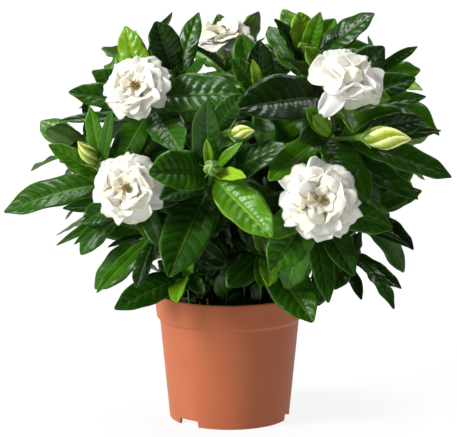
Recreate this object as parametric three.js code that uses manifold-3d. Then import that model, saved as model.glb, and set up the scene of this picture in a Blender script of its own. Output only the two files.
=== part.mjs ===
// Potted gardenia: a bushy evergreen shrub with double flowers, in a thin plastic nursery pot.
// Millimetres, +Z up. The origin is on the pot's axis, on the surface that the pot stands on.
// The side with the open flowers faces -Y.
import * as THREE from 'three';
import { mergeVertices } from 'three/addons/utils/BufferGeometryUtils.js';
import Module from 'manifold-3d';

const wasm = await Module();
wasm.setup();

// Pot
const POT_HEIGHT = 110;
const RIM_RADIUS = 65;
const RIM_BAND = 24;
const RIM_STEP = 2.6;
const RIM_ROUND = 0.9;
const BODY_TOP_RADIUS = 60;
const BASE_RADIUS = 51.7;
const FOOT_WIDTH = 2.2;
const WALL = 1.7;
const FLOOR_UNDERSIDE = 6;
const FLOOR_TOP = 8;
const POT_SIDES = 32;

// Three notches in the foot let water out, and so do the holes in the floor
const NOTCHES = 3;
const NOTCH_TURN = -132.5;
const NOTCH_WIDTH = 21;
const NOTCH_HEIGHT = 5.5;
const NOTCH_DEPTH = 16;
const DRAIN_HOLES = 6;
const DRAIN_RADIUS = 4;
const DRAIN_CIRCLE = 30;

// Soil
const GAP = 0.35;
const SOIL_SIDES = 20;
const SOIL_EDGE = 97;
const SOIL_CROWN = 3;
const SOIL_LUMP = 0.8;
const SOIL_RINGS = [46, 32, 18, 8];
const HOLE_DEPTH = 26;
const HOLE_CLEARANCE = 0.5;

// Stems
const TRUNK_RADIUS = 2.6;
const TRUNK_SIDES = 5;
const TRUNK_TOP = 166;
const BRANCH_RADIUS = 1.8;
const GREEN_RADIUS = 1.9;
const TIP_RADIUS = 1.6;
const WOODY_SHARE = 0.42;
const FORK_HEIGHT = 82;
const FORK_RISE = 0.24;
const STEM_REACH = 0.36;
const STEM_SIDES = 3;
const WOODY_STEPS = 2;
const GREEN_STEPS = 4;

// Leaves: the flat blade of a leaf has a keel below, and narrows to a stalk
const LEAF_LENGTH = 76;
const LEAF_SLENDERNESS = 0.42;
const LEAF_THICKNESS = 1.4;
const STALK_SHARE = 0.1;
const STALK_WIDTH = 1.1;
const STALK_THICKNESS = 0.8;
const LEAF_ARCH = 0.1;
const LEAF_TWIST = 0.3;
const LEAF_SAG = 0.16;
const LEAF_TO_SKY = 0.75;
const LEAF_OUTWARDS = 0.35;
const LEAF_TO_FRONT = 0.8;
const LEAF_RINGS = [0, 0.3, 0.68];
const LONG_LEAF_RINGS = [0, 0.2, 0.48, 0.78];

// Whorls of leaves from a shoot's tip downwards: how far below the tip, how many leaves, their degrees off
// the stem, and their length as a share of a full leaf's
const WHORLS = [
  { below: 4, leaves: 3, pitch: 36, size: 0.68 },
  { below: 17, leaves: 3, pitch: 62, size: 0.95 },
  { below: 36, leaves: 3, pitch: 84, size: 1 },
  { below: 58, leaves: 3, pitch: 96, size: 1 },
  { below: 82, leaves: 3, pitch: 100, size: 0.9 },
];
const WHORL_TURN = 62;
const WHORL_STAGGER = 2.6;
const UNDER_BLOOM_PITCH = 24;
const LEAVES_IN_FRONT = 10;
const LEAVES_BEHIND = 8;

// Blooms
const TUBE_PROFILE = [[-17, 2.4], [-8, 3], [0, 4.8]];
const TUBE_SIDES = 6;
const PETAL_THICKNESS = 1.3;
const PETAL_ROOT_RADIUS = 2.2;
const PETAL_ROOT_THICKNESS = 0.8;
const PETAL_ROLL = 0.16;
const PETAL_RINGS = [0, 0.4, 0.74, 1];
const HEART_PROFILE = [[0.35, 1.9], [5, 2.4], [9.5, 2.9], [12.5, 0]];
const HEART_SIDES = 10;

// Petal layers from the outside in: how many, how far the roots are up from the throat, then in shares of
// the bloom's radius a petal's bend and end, as [along its axis, away from it], its half-width and its cup
const PETAL_LAYERS = [
  { petals: 6, root: -5.6, bend: [0.14, 0.45], end: [-0.14, 1], half: 0.42, cup: -0.04 },
  { petals: 6, root: -3, bend: [0.34, 0.42], end: [0.16, 0.84], half: 0.36, cup: 0.05 },
  { petals: 4, root: -1, bend: [0.38, 0.26], end: [0.44, 0.52], half: 0.32, cup: 0.3 },
];

// Calyx and buds. A bud's profile is in shares of its length and radius.
const CALYX_LENGTH = 7;
const CALYX_RADII = [1.8, 3.2];
const CALYX_SIDES = 6;
const CALYX_LOBES = 5;
const LOBE_LENGTH = 9;
const LOBE_LEAN = 0.95;
const LOBE_RADIUS = 1.1;
const BUD_PROFILE = [[0, 0.45], [0.2, 0.88], [0.45, 1], [0.74, 0.62], [1, 0]];
const BUD_SIDES = 8;
const BUD_TURN = 0.4;
const BUD_NOD = 0.05;

// The bush's outline: a flattened dome that no leaf of the rule leaves
const DOME_CENTRE = 214;
const DOME_SIDE = 182;
const DOME_FRONT = 160;
const DOME_BACK = 170;
const DOME_ABOVE = 140;
const DOME_BELOW = 112;

// How far apart things grow, how often a leaf or petal tries for a clear place, and the seed of all chance
const CLEARANCE = 0.55;
const PETAL_CLEARANCE = 0.1;
const POT_CLEARANCE = 2.5;
const TRIES = 26;
const EASE = 1.1;
const SEED = 20417;
const SLIVERS = [0.15, 0.08, 0.03, 0.01, 0.004];

const COLOURS = {
  pot: [0xc26b49, 0.55],
  soil: [0x2c211b, 0.95],
  wood: [0x7d6a45, 0.8],
  leaf: [0x1f5a1c, 0.3],
  petal: [0xf7f2e8, 0.5],
  heart: [0xb98a2f, 0.6],
  bud: [0xc3d46a, 0.45],
};

// Four rooted cuttings share the pot: where each stands in the soil, and where its woody stem forks
const CUTTINGS = [
  { foot: [-17, -13], fork: [-26, -22] },
  { foot: [15, -15], fork: [26, -24] },
  { foot: [16, 13], fork: [26, 24] },
  { foot: [-14, 15], fork: [-26, 24] },
];

// Shoots: the cutting that each grows from, its tip, the way it points and what it ends in. For a bloom the
// tip is the middle of the flower, with its radius, and for a bud the bud's base, with its length and radius.
// Large leaves in view are given as [tip x, y, z, width, whorl]. The rest follow the rule of the whorls, which
// leaves the first whorls of some shoots bare, and gives some shoots at most so many leaves.
const SHOOTS = [
  { name: 'middle', cutting: 0, tip: [-14, -138, 234], aim: [0.02, -0.93, 0.36], bud: [15, 6.5], bare: 2,
    leaves: [
      [-63, -152, 233, 36, 1], [-18, -120, 284, 30, 1], [-47, -161, 152, 40, 2],
      [33, -166, 184, 33, 1], [44, -140, 254, 26, 2], [13, -162, 231, 12, 0],
      [-54, -140, 210, 24, 2], [-15, -146, 254, 9, 0], [9, -142, 256, 9, 0],
    ] },
  { name: 'left_flower', cutting: 0, tip: [-80, -135, 218], aim: [-0.2, -0.93, 0.3], bloom: 28.5,
    bare: 2, most: 6, leaves: [
      [-136, -80, 194, 15, 2], [-118, -118, 188, 22, 0], [-124, -120, 171, 11, 1],
      [-143, -92, 166, 11, 2],
    ] },
  { name: 'upper_left_flower', cutting: 0, tip: [-74, -100, 294], aim: [-0.25, -0.87, 0.43], bloom: 28,
    bare: 1, leaves: [
      [10, -106, 290, 34, 0], [-130, -82, 289, 24, 1], [-112, -62, 304, 24, 1],
      [-36, -134, 246, 32, 1], [-140, -70, 264, 12, 2], [-85, -58, 341, 25, 0],
    ] },
  { name: 'left_bud', cutting: 0, tip: [-108, -94, 233], aim: [-0.48, -0.38, 0.79], bud: [25, 6.6],
    bare: 2, most: 7, leaves: [
      [-182, -95, 193, 32, 1], [-146, -92, 248, 18, 1], [-112, -88, 278, 16, 0],
      [-94, -104, 272, 14, 0], [-136, -70, 232, 14, 1],
    ] },
  { name: 'lower_left', cutting: 0, tip: [-72, -95, 172], aim: [-0.62, -0.72, -0.12], bare: 1, most: 6,
    leaves: [
      [-107, -112, 130, 12, 1], [-76, -92, 130, 16, 1], [-94, -122, 166, 8, 0],
      [-86, -112, 165, 7, 1],
    ] },
  { name: 'low_front_left', cutting: 0, tip: [-38, -66, 137], aim: [-0.55, -0.72, 0.3], most: 4,
    leaves: [[-94, -94, 113, 26, 1], [-20, -90, 126, 14, 0]] },
  { name: 'centre_bud', cutting: 0, tip: [2, -130, 262], aim: [0.86, -0.46, 0.18], bud: [20, 5.5], bare: 2,
    leaves: [[10, -120, 292, 20, 1], [22, -150, 236, 18, 1]] },
  { name: 'right_flower', cutting: 1, tip: [70, -150, 211], aim: [0.08, -0.95, 0.28], bloom: 32,
    leaves: [
      [129, -130, 186, 26, 0], [31, -160, 156, 34, 0], [78, -142, 128, 20, 1],
      [98, -144, 150, 24, 1], [145, -110, 168, 9, 1],
    ] },
  { name: 'low_right_front', cutting: 1, tip: [32, -92, 158], aim: [0.25, -0.93, 0.12], most: 5,
    leaves: [[67, -122, 108, 36, 1], [24, -120, 136, 14, 1]] },
  { name: 'right_lower', cutting: 1, tip: [106, -66, 154], aim: [0.75, -0.6, -0.1], bare: 1, most: 5,
    leaves: [[141, -80, 127, 17, 1], [137, -90, 112, 19, 0], [107, -96, 121, 16, 1]] },
  { name: 'right_middle', cutting: 1, tip: [124, -72, 194], aim: [0.78, -0.6, 0.1], bare: 1, most: 5,
    leaves: [[150, -84, 160, 18, 1], [156, -66, 203, 20, 1]] },
  { name: 'big_bud', cutting: 1, tip: [108, -112, 256], aim: [0.93, -0.32, 0.05], bud: [37, 9.5], bare: 1,
    leaves: [
      [181, -76, 219, 26, 1], [152, -98, 204, 22, 2], [158, -78, 266, 20, 0],
      [173, -66, 256, 16, 2],
    ] },
  { name: 'upper_right_flower', cutting: 1, tip: [94, -112, 301], aim: [0.3, -0.8, 0.52], bloom: 32,
    leaves: [
      [6, -132, 281, 43, 0], [124, -84, 326, 28, 0], [152, -60, 298, 25, 1], [162, -48, 282, 18, 2],
    ] },
  { name: 'top_right', cutting: 1, tip: [63, -38, 316], aim: [0.05, -0.1, 0.99],
    leaves: [
      [57, -38, 351, 27, 0], [76, -46, 346, 20, 0], [115, -54, 350, 30, 0], [36, -52, 346, 20, 1],
    ] },
  { name: 'top_middle', cutting: 0, tip: [24, -100, 290], aim: [-0.1, -0.8, 0.6], bare: 1,
    leaves: [
      [2, -104, 318, 18, 0], [24, -84, 331, 24, 1], [58, -126, 284, 26, 1], [18, -112, 318, 9, 0],
      [38, -106, 302, 12, 0],
    ] },
  { name: 'top_flower', cutting: 3, tip: [-5, 2, 326], aim: [-0.05, -0.2, 0.98], bloom: 29,
    leaves: [[-34, -40, 326, 18, 0], [34, -30, 336, 14, 0]] },
  { name: 'top_left', cutting: 0, tip: [-46, -60, 306], aim: [-0.05, -0.25, 0.96], bare: 1,
    leaves: [
      [-60, -64, 345, 27, 0], [-25, -40, 351, 20, 1], [-18, -82, 316, 18, 1],
      [-46, -64, 332, 10, 0],
    ] },
  { name: 'right_twig', cutting: 1, tip: [122, -30, 300], aim: [0.85, -0.1, 0.5],
    leaves: [[156, -30, 322, 10, 0], [150, -20, 304, 14, 1]] },
  { name: 'right_inner', cutting: 1, tip: [82, -118, 258], aim: [0.3, -0.94, 0.1],
    leaves: [[94, -140, 226, 32, 1], [50, -142, 256, 22, 1], [122, -130, 232, 20, 1]] },
  { name: 'behind_low_1', cutting: 2, tip: [104, 44, 166], aim: [0.9, 0.35, 0.1], most: 4 },
  { name: 'behind_low_2', cutting: 2, tip: [62, 98, 152], aim: [0.5, 0.85, 0.05] },
  { name: 'behind_low_3', cutting: 3, tip: [-24, 112, 156], aim: [-0.15, 0.98, 0.1] },
  { name: 'behind_low_4', cutting: 3, tip: [-88, 76, 164], aim: [-0.8, 0.6, 0.05], most: 5 },
  { name: 'behind_low_5', cutting: 3, tip: [-104, 0, 178], aim: [-0.98, 0, 0.1], most: 5 },
  { name: 'behind_middle_1', cutting: 2, tip: [132, 22, 230], aim: [0.93, 0.15, 0.3], most: 6 },
  { name: 'behind_middle_2', cutting: 2, tip: [96, 92, 226], aim: [0.68, 0.68, 0.28], bud: [24, 7.5] },
  { name: 'behind_middle_3', cutting: 2, tip: [14, 126, 232], aim: [0.1, 0.93, 0.35] },
  { name: 'behind_middle_4', cutting: 3, tip: [-74, 104, 228], aim: [-0.55, 0.78, 0.3], bud: [22, 7] },
  { name: 'behind_middle_5', cutting: 3, tip: [-130, 24, 228], aim: [-0.93, 0.15, 0.3] },
  { name: 'behind_high_1', cutting: 2, tip: [84, 36, 300], aim: [0.55, 0.35, 0.76] },
  { name: 'behind_high_2', cutting: 2, tip: [10, 78, 302], aim: [0.05, 0.62, 0.78] },
  { name: 'behind_high_3', cutting: 3, tip: [-80, 38, 298], aim: [-0.6, 0.3, 0.75] },
];

// Vectors and chance

const vec = (x, y, z) => new THREE.Vector3(x, y, z);
const UP = vec(0, 0, 1);
const plus = (p, way, far) => p.clone().addScaledVector(way, far);
const mix = (a, b, t) => a.clone().lerp(b, t);
const { degToRad, lerp, clamp } = THREE.MathUtils;
const TURN = 2 * Math.PI;

// The part of a vector that is square to the unit vector axis, at unit length
const squareTo = (axis, v) => plus(v, axis, -v.dot(axis)).normalize();

// A number from 0 to 1 that depends only on its keys, so each leaf has its own chance
function draw(...keys) {
  let h = SEED;
  for (const key of keys) {
    h = Math.imul(h ^ (key + 0x9e3779b9), 0x85ebca6b);
    h ^= h >>> 13;
    h = Math.imul(h, 0xc2b2ae35);
    h ^= h >>> 16;
  }
  return (h >>> 0) / 2 ** 32;
}

const spread = (width, ...keys) => (draw(...keys) - 0.5) * width;

// Solids

function solidOfSkin({ points, faces }) {
  const vertProperties = new Float32Array(points.flatMap((p) => [p.x, p.y, p.z]));
  const triVerts = new Uint32Array(faces.flat());
  return new wasm.Manifold(new wasm.Mesh({ numProp: 3, vertProperties, triVerts }));
}

function solidOfGeometry(geometry) {
  geometry.deleteAttribute('normal');
  geometry.deleteAttribute('uv');
  const merged = mergeVertices(geometry, 1e-3);
  const vertProperties = merged.attributes.position.array;
  const triVerts = new Uint32Array(merged.index.array);
  return new wasm.Manifold(new wasm.Mesh({ numProp: 3, vertProperties, triVerts }));
}

// Does each edge belong to two triangles once the corners are rounded to a ten-thousandth?
function closes(solid) {
  const { vertProperties, triVerts } = solid.getMesh();
  const corner = (i) => [0, 1, 2].map((k) => vertProperties[3 * i + k].toFixed(4)).join();
  const uses = new Map();
  for (let i = 0; i < triVerts.length; i += 3) {
    for (let k = 0; k < 3; k++) {
      const edge = [corner(triVerts[i + k]), corner(triVerts[i + ((k + 1) % 3)])].sort().join();
      uses.set(edge, (uses.get(edge) ?? 0) + 1);
    }
  }
  return [...uses.values()].every((n) => n === 2);
}

// Does the line from p to q pass through the triangle a, b, c?
function pierces(p, q, a, b, c) {
  const way = q.clone().sub(p);
  const ab = b.clone().sub(a);
  const ac = c.clone().sub(a);
  const h = way.clone().cross(ac);
  const det = ab.dot(h);
  if (Math.abs(det) < 1e-12) return false;
  const s = p.clone().sub(a);
  const u = s.dot(h) / det;
  if (u < 0 || u > 1) return false;
  s.cross(ab);
  const v = way.dot(s) / det;
  if (v < 0 || u + v > 1) return false;
  const t = ac.dot(s) / det;
  return t >= 0 && t <= 1;
}

// Does an edge of a solid pass through one of its own faces?
function isTangled(solid) {
  const { vertProperties, triVerts } = solid.getMesh();
  const points = Array.from({ length: vertProperties.length / 3 }, (_, i) => (
    vec(...vertProperties.slice(3 * i, 3 * i + 3))
  ));
  const boxOf = (corners) => new THREE.Box3().setFromPoints(corners.map((i) => points[i]));
  const faces = [];
  for (let i = 0; i < triVerts.length; i += 3) faces.push([...triVerts.slice(i, i + 3)]);
  const boxes = faces.map(boxOf);
  const crossed = ([a, b]) => {
    const span = boxOf([a, b]);
    return faces.some((face, k) => (
      boxes[k].intersectsBox(span) && !face.includes(a) && !face.includes(b)
        && pierces(points[a], points[b], ...face.map((i) => points[i]))
    ));
  };
  const edgesOf = ([a, b, c]) => [[a, b], [b, c], [c, a]].filter(([from, to]) => from < to);
  return faces.some((face) => edgesOf(face).some(crossed));
}

// The largest body of a solid, without sealed hollows, loose scraps and slivers too thin to matter
function oneBody(solid) {
  const bodies = solid.decompose().filter((body) => body.volume() > 0);
  const largest = bodies.reduce((best, body) => (body.volume() > best.volume() ? body : best)).asOriginal();
  const closed = SLIVERS.map((width) => largest.simplify(width)).filter(closes);
  return closed.find((made) => !isTangled(made)) ?? closed.at(-1) ?? largest;
}

const fuse = (skins) => oneBody(wasm.Manifold.union(skins.map(solidOfSkin)));

// Rings of points joined into a closed skin, with the last one a ring or a single point
function skin(rings) {
  const points = rings.flat();
  const faces = [];
  const sides = rings[0].length;
  for (let k = 0; k + 1 < rings.length; k++) {
    const low = k * sides;
    for (let i = 0; i < sides; i++) {
      const next = (i + 1) % sides;
      if (rings[k + 1].length === 1) {
        faces.push([low + i, low + next, low + sides]);
      } else {
        faces.push([low + i, low + next, low + sides + next], [low + i, low + sides + next, low + sides + i]);
      }
    }
  }
  const top = (rings.length - 1) * sides;
  for (let i = 1; i + 1 < sides; i++) {
    faces.push([0, i + 1, i]);
    if (rings.at(-1).length > 1) faces.push([top, top + i, top + i + 1]);
  }
  return { points, faces };
}

// A tube along a row of points, with a radius at each, and the ways that its rings face where they are known.
// It can have ridges, and each ring can be turned on the last.
function tube(path, radii, sides, { ways = [], ridge = 0, turn = 0 } = {}) {
  let side = null;
  const rings = path.map((p, k) => {
    const last = path[Math.max(k - 1, 0)];
    const next = path[Math.min(k + 1, path.length - 1)];
    const along = ways[k] ?? next.clone().sub(last).normalize();
    side = squareTo(along, side ?? (Math.abs(along.x) < 0.8 ? vec(1, 0, 0) : vec(0, 1, 0)));
    const other = along.clone().cross(side);
    return Array.from({ length: radii[k] > 0 ? sides : 1 }, (_, i) => {
      const angle = (TURN * i) / sides + turn * k;
      const r = radii[k] * (i % 2 ? 1 - ridge : 1);
      return plus(plus(p, side, r * Math.cos(angle)), other, r * Math.sin(angle));
    });
  });
  return skin(rings);
}

// Stems

// The middle of a cutting's woody stem at a height
function trunkAt({ foot, fork }, z) {
  const lean = clamp((z - SOIL_EDGE) / (TRUNK_TOP - SOIL_EDGE), 0, 1) ** 2;
  return vec(lerp(foot[0], fork[0], lean), lerp(foot[1], fork[1], lean), z);
}

function trunkSkin(cutting, grow = 0) {
  const heights = [SOIL_EDGE - HOLE_DEPTH + 1, SOIL_EDGE + 4, 124, 146, TRUNK_TOP];
  const radii = heights.map((z, k) => lerp(TRUNK_RADIUS, BRANCH_RADIUS, k / (heights.length - 1)) + grow);
  return tube(heights.map((z) => trunkAt(cutting, z)), radii, TRUNK_SIDES);
}

// A branch leaves its cutting upwards, lower down for a low shoot, and arrives along the shoot's aim
function stemPath(shoot) {
  const height = Math.min(TRUNK_TOP - 4, FORK_HEIGHT + FORK_RISE * shoot.end.z);
  const start = trunkAt(CUTTINGS[shoot.cutting], height);
  const reach = start.distanceTo(shoot.end) * STEM_REACH;
  const arrival = plus(shoot.end, shoot.aim, -reach);
  return new THREE.CubicBezierCurve3(start, plus(start, UP, reach), arrival, shoot.end);
}

function stemRadius(t) {
  if (t < WOODY_SHARE) return lerp(BRANCH_RADIUS, GREEN_RADIUS, t / WOODY_SHARE);
  return lerp(GREEN_RADIUS, TIP_RADIUS, (t - WOODY_SHARE) / (1 - WOODY_SHARE));
}

function stemSkin(shoot, from, to, steps, grow = 0) {
  const shares = Array.from({ length: steps + 1 }, (_, k) => lerp(from, to, k / steps));
  const path = shares.map((t) => shoot.path.getPoint(t));
  const ways = shares.map((t) => shoot.path.getTangent(t));
  return tube(path, shares.map((t) => stemRadius(t) + grow), STEM_SIDES, { ways });
}

const woodySkin = (shoot, grow) => stemSkin(shoot, 0, WOODY_SHARE, WOODY_STEPS, grow);
const greenSkin = (shoot, grow) => stemSkin(shoot, WOODY_SHARE + GAP / shoot.length, 1, GREEN_STEPS, grow);

// A green calyx under a bud or bloom: a short cup on the stem's end, with narrow lobes that spread from it
function calyxSkins({ end, aim }, grow = 0) {
  const cupPath = [plus(end, aim, -2), plus(end, aim, CALYX_LENGTH - GAP)];
  const cup = tube(cupPath, CALYX_RADII.map((r) => r + grow), CALYX_SIDES);
  const side = squareTo(aim, UP);
  const lobes = Array.from({ length: CALYX_LOBES }, (_, i) => {
    const out = side.clone().applyAxisAngle(aim, (TURN * i) / CALYX_LOBES);
    const foot = plus(plus(end, aim, CALYX_LENGTH / 2), out, CALYX_RADII[0]);
    const point = plus(plus(foot, aim, LOBE_LENGTH), out, LOBE_LENGTH * LOBE_LEAN);
    return tube([foot, point], [LOBE_RADIUS + grow, 0], 3);
  });
  return [cup, ...lobes];
}

// Leaves

// A blade's half-width in shares of its greatest, at x from 0 at the stalk to 1 at the tip
const leafOutline = (x) => 2.82 * x ** 0.7 * (1 - x) ** 0.8;

// The point of a leaf's midrib at t, from 0 at the stem to 1 at the tip, and the directions there: along,
// across and out of the face
function leafFrame(leaf, t) {
  const chord = leaf.tip.clone().sub(leaf.base);
  const bend = plus(mix(leaf.base, leaf.tip, 0.45), leaf.up, leaf.arch * chord.length());
  const p = mix(mix(leaf.base, bend, t), mix(bend, leaf.tip, t), t);
  const along = mix(bend.clone().sub(leaf.base), leaf.tip.clone().sub(bend), t).normalize();
  const side = along.clone().cross(leaf.up).normalize().applyAxisAngle(along, leaf.twist * (t - 0.3));
  return { p, along, side, face: side.clone().cross(along) };
}

function leafHalfWidth(leaf, t) {
  const x = clamp((t - STALK_SHARE) / (1 - STALK_SHARE), 0, 1);
  return Math.max(STALK_WIDTH / 2, (leaf.wide / 2) * leafOutline(x));
}

// A blade of three-cornered rings and a tip: flat above, with a keel below. To test its clearance it is made
// larger by grow on every side.
function leafSkin(leaf, grow = 0) {
  const rings = leaf.rings.map((t) => {
    const { p, side, face } = leafFrame(leaf, t);
    const w = leafHalfWidth(leaf, t) + grow;
    const keel = (t === 0 ? STALK_THICKNESS : LEAF_THICKNESS) / 2 + grow;
    const top = plus(p, face, keel);
    return [plus(top, side, w), plus(p, face, -keel), plus(top, side, -w)];
  });
  const end = leafFrame(leaf, 1);
  return skin([...rings, [plus(end.p, end.along, grow)]]);
}

// Where on the shoot's stem a leaf stands: the leaves of a whorl are a little apart
function leafShare(shoot, whorl, number) {
  const share = shoot.whorlShares[Math.min(whorl, shoot.whorlShares.length - 1)];
  return share - (WHORL_STAGGER * (number % 3)) / shoot.length;
}

// A leaf from a whorl to a tip, with its face turned to the light and along the stem. On the shoots in front
// the light comes from the front as well.
function leafFrom(shoot, whorl, number, tip, wide, roll, rings, keys) {
  const share = leafShare(shoot, whorl, number);
  const base = shoot.path.getPoint(share);
  const outwards = vec(base.x, base.y, 0).normalize();
  const light = plus(plus(shoot.path.getTangent(share), UP, LEAF_TO_SKY), outwards, LEAF_OUTWARDS);
  if (shoot.leaves) light.y -= LEAF_TO_FRONT;
  const chord = tip.clone().sub(base).normalize();
  const up = squareTo(chord, light).applyAxisAngle(chord, roll);
  const arch = LEAF_ARCH + spread(0.1, ...keys, 1);
  const twist = spread(LEAF_TWIST, ...keys, 2);
  return { base, tip, up, wide, rings, arch, twist };
}

// A large leaf in view. Its first attempt is as seen, and later ones are eased a little further each.
function knownLeaf(shoot, [x, y, z, wide, whorl], number, attempt) {
  const keys = [shoot.index, 100 + number, attempt];
  const ease = EASE * attempt;
  const tip = vec(x, y, z);
  tip.add(vec(spread(ease, ...keys, 3), spread(2 * ease, ...keys, 4), spread(ease, ...keys, 5)));
  const roll = spread(0.06 * attempt, ...keys, 6);
  return leafFrom(shoot, whorl, number, tip, wide * (1 - 0.012 * attempt), roll, LONG_LEAF_RINGS, keys);
}

// One leaf of a whorl, by rule. Each attempt is a new draw, looser and a little shorter than the last.
function whorlLeaf(shoot, whorl, number, attempt) {
  const { leaves, pitch, size } = WHORLS[whorl];
  const share = leafShare(shoot, whorl, number);
  const axis = shoot.path.getTangent(share);
  const keys = [shoot.index, whorl * 10 + number, attempt];
  const loose = 0.35 + 0.05 * attempt;
  const turn = degToRad(WHORL_TURN * whorl + (360 / leaves) * number) + TURN * draw(shoot.index, 7)
    + spread(2 * loose, ...keys, 8);
  const angle = degToRad(pitch + (shoot.bloom ? UNDER_BLOOM_PITCH : 0)) + spread(loose, ...keys, 9);
  const length = LEAF_LENGTH * size * (0.86 + 0.24 * draw(...keys, 10)) * (1 - 0.016 * attempt);
  const out = squareTo(axis, UP).applyAxisAngle(axis, turn);
  const way = plus(axis.clone().multiplyScalar(Math.cos(angle)), out, Math.sin(angle));
  const tip = plus(shoot.path.getPoint(share), way, length);
  tip.z -= LEAF_SAG * length * Math.hypot(way.x, way.y);
  const wide = length * (LEAF_SLENDERNESS + spread(0.06, ...keys, 11));
  return leafFrom(shoot, whorl, number, tip, wide, spread(0.5, ...keys, 12), LEAF_RINGS, keys);
}

// Blooms and buds

// The point of a petal's midline at t, and the directions there: along, across and inwards to the axis
function petalFrame(petal, t) {
  const { centre, axis, out, root, bend, end, roll } = petal;
  const place = ([ahead, beside]) => plus(plus(centre, axis, ahead), out, beside);
  const [p0, p1, p2] = [root, bend, end].map(place);
  const p = mix(mix(p0, p1, t), mix(p1, p2, t), t);
  const along = mix(p1.clone().sub(p0), p2.clone().sub(p1), t).normalize();
  const side = axis.clone().cross(out).normalize().applyAxisAngle(along, roll);
  return { p, along, side, inner: side.clone().cross(along) };
}

const petalOutline = (t) => Math.sin(Math.PI * (0.03 + 0.6 * t)) * (t === 1 ? 0.78 : 1);

function petalSkin(petal, grow = 0) {
  return skin(PETAL_RINGS.map((t) => {
    const { p, along, side, inner } = petalFrame(petal, t);
    const w = petal.half * petalOutline(t) + grow;
    const h = (t === 0 ? PETAL_ROOT_THICKNESS : PETAL_THICKNESS) / 2 + grow;
    const edge = plus(plus(p, inner, petal.cup * w + h), along, t === 1 ? -0.16 * w : 0);
    return [plus(edge, side, w), plus(p, inner, -h), plus(edge, side, -w)];
  }));
}

// One petal of a layer. Later attempts stray further from its even place.
function layerPetal(shoot, row, number, attempt) {
  const layer = PETAL_LAYERS[row];
  const keys = [shoot.index, 200 + row * 10 + number, attempt];
  const step = TURN / layer.petals;
  const place = number + 0.5 * row + spread(0.16 + 0.03 * attempt, ...keys, 1);
  const turn = step * place + TURN * draw(shoot.index, 21);
  const size = shoot.bloom * (0.92 + 0.12 * draw(...keys, 2));
  const lift = spread(0.1 + 0.01 * attempt, ...keys, 3);
  return {
    centre: shoot.middle,
    axis: shoot.aim,
    out: squareTo(shoot.aim, UP).applyAxisAngle(shoot.aim, turn),
    root: [layer.root, PETAL_ROOT_RADIUS],
    bend: layer.bend.map((share) => share * size),
    end: [(layer.end[0] + lift) * size, layer.end[1] * size],
    half: layer.half * size,
    cup: layer.cup,
    roll: PETAL_ROLL + spread(0.06, ...keys, 4),
  };
}

function spindle(shoot, profile, sides, ridges) {
  const path = profile.map(([ahead]) => plus(shoot.middle, shoot.aim, ahead));
  return tube(path, profile.map(([, r]) => r), sides, ridges);
}

// The tube of a bloom, that its petals stand on
const tubeSkin = (shoot) => spindle(shoot, TUBE_PROFILE, TUBE_SIDES);

// The club-shaped stigma, fluted by the anthers that stand against it
const heartSkin = (shoot) => spindle(shoot, HEART_PROFILE, HEART_SIDES, { ridge: 0.42 });

// A bud with its petals wound round each other, nodding a little
function budSkin(shoot, grow = 0) {
  const [length, radius] = shoot.bud;
  const upwards = squareTo(shoot.aim, UP);
  const path = BUD_PROFILE.map(([t]) => (
    plus(plus(shoot.middle, shoot.aim, t * length), upwards, -BUD_NOD * length * t * t)
  ));
  const radii = BUD_PROFILE.map(([, r]) => (r > 0 ? r * radius + grow : 0));
  return tube(path, radii, BUD_SIDES, { ridge: 0.12, turn: BUD_TURN });
}

// Clearance

// What a clearance test needs of a skin. A blade's first ring is its root, sunk in what it grows from.
function obstacle({ points, faces }, owner, kind) {
  const edges = new Map();
  for (const [a, b, c] of faces) {
    for (const edge of [[a, b], [b, c], [c, a]]) edges.set(edge.toSorted((p, q) => p - q).join(), edge);
  }
  const offTheRoot = (corners) => kind === 'stem' || corners.every((i) => i >= 3);
  const all = { edges: [...edges.values()], faces };
  const blade = { edges: all.edges.filter(offTheRoot), faces: faces.filter(offTheRoot) };
  return { owner, points, box: new THREE.Box3().setFromPoints(points), all, blade };
}

// Things of one owner may meet at their roots
function crosses(one, two) {
  if (!one.box.intersectsBox(two.box)) return false;
  const part = one.owner === two.owner ? 'blade' : 'all';
  const corners = ({ points }, numbers) => numbers.map((i) => points[i]);
  const enters = (from, to) => from[part].edges.some((edge) => (
    to[part].faces.some((face) => pierces(...corners(from, edge), ...corners(to, face)))
  ));
  return enters(one, two) || enters(two, one);
}

function offThePot(p) {
  return Math.hypot(p.x, p.y) > RIM_RADIUS + POT_CLEARANCE || p.z > POT_HEIGHT + POT_CLEARANCE;
}

function inTheDome(p) {
  const height = p.z > DOME_CENTRE ? DOME_ABOVE : DOME_BELOW;
  const depth = p.y > 0 ? DOME_BACK : DOME_FRONT;
  const level = Math.hypot(p.x / DOME_SIDE, p.y / depth);
  return level ** 3 + Math.abs((p.z - DOME_CENTRE) / height) ** 3 < 1;
}

// Is the point in front of the shoot's flower or bud, where it would hide it?
function hides(shoot, p) {
  if (!shoot.bloom && !shoot.bud) return false;
  const off = p.clone().sub(shoot.middle);
  const ahead = off.dot(shoot.aim);
  const beside = plus(off, shoot.aim, -ahead).length();
  return ahead > 0 && beside < (shoot.bloom ?? 2 * shoot.bud[1]) + 0.25 * ahead;
}

// Growing

const obstacles = [];

function prepare(shoot, index) {
  shoot.index = index;
  shoot.aim = vec(...shoot.aim).normalize();
  shoot.middle = vec(...shoot.tip);
  const behind = shoot.bloom ? CALYX_LENGTH - TUBE_PROFILE[0][0] : CALYX_LENGTH;
  shoot.end = plus(shoot.middle, shoot.aim, shoot.bloom || shoot.bud ? -behind : 0);
  shoot.path = stemPath(shoot);
  shoot.length = shoot.path.getLength();
  const shares = WHORLS.map(({ below }) => 1 - below / shoot.length);
  shoot.whorlShares = shares.filter((t) => t > WOODY_SHARE + 0.04);
  shoot.grown = [];
  shoot.petals = [];
}

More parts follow.
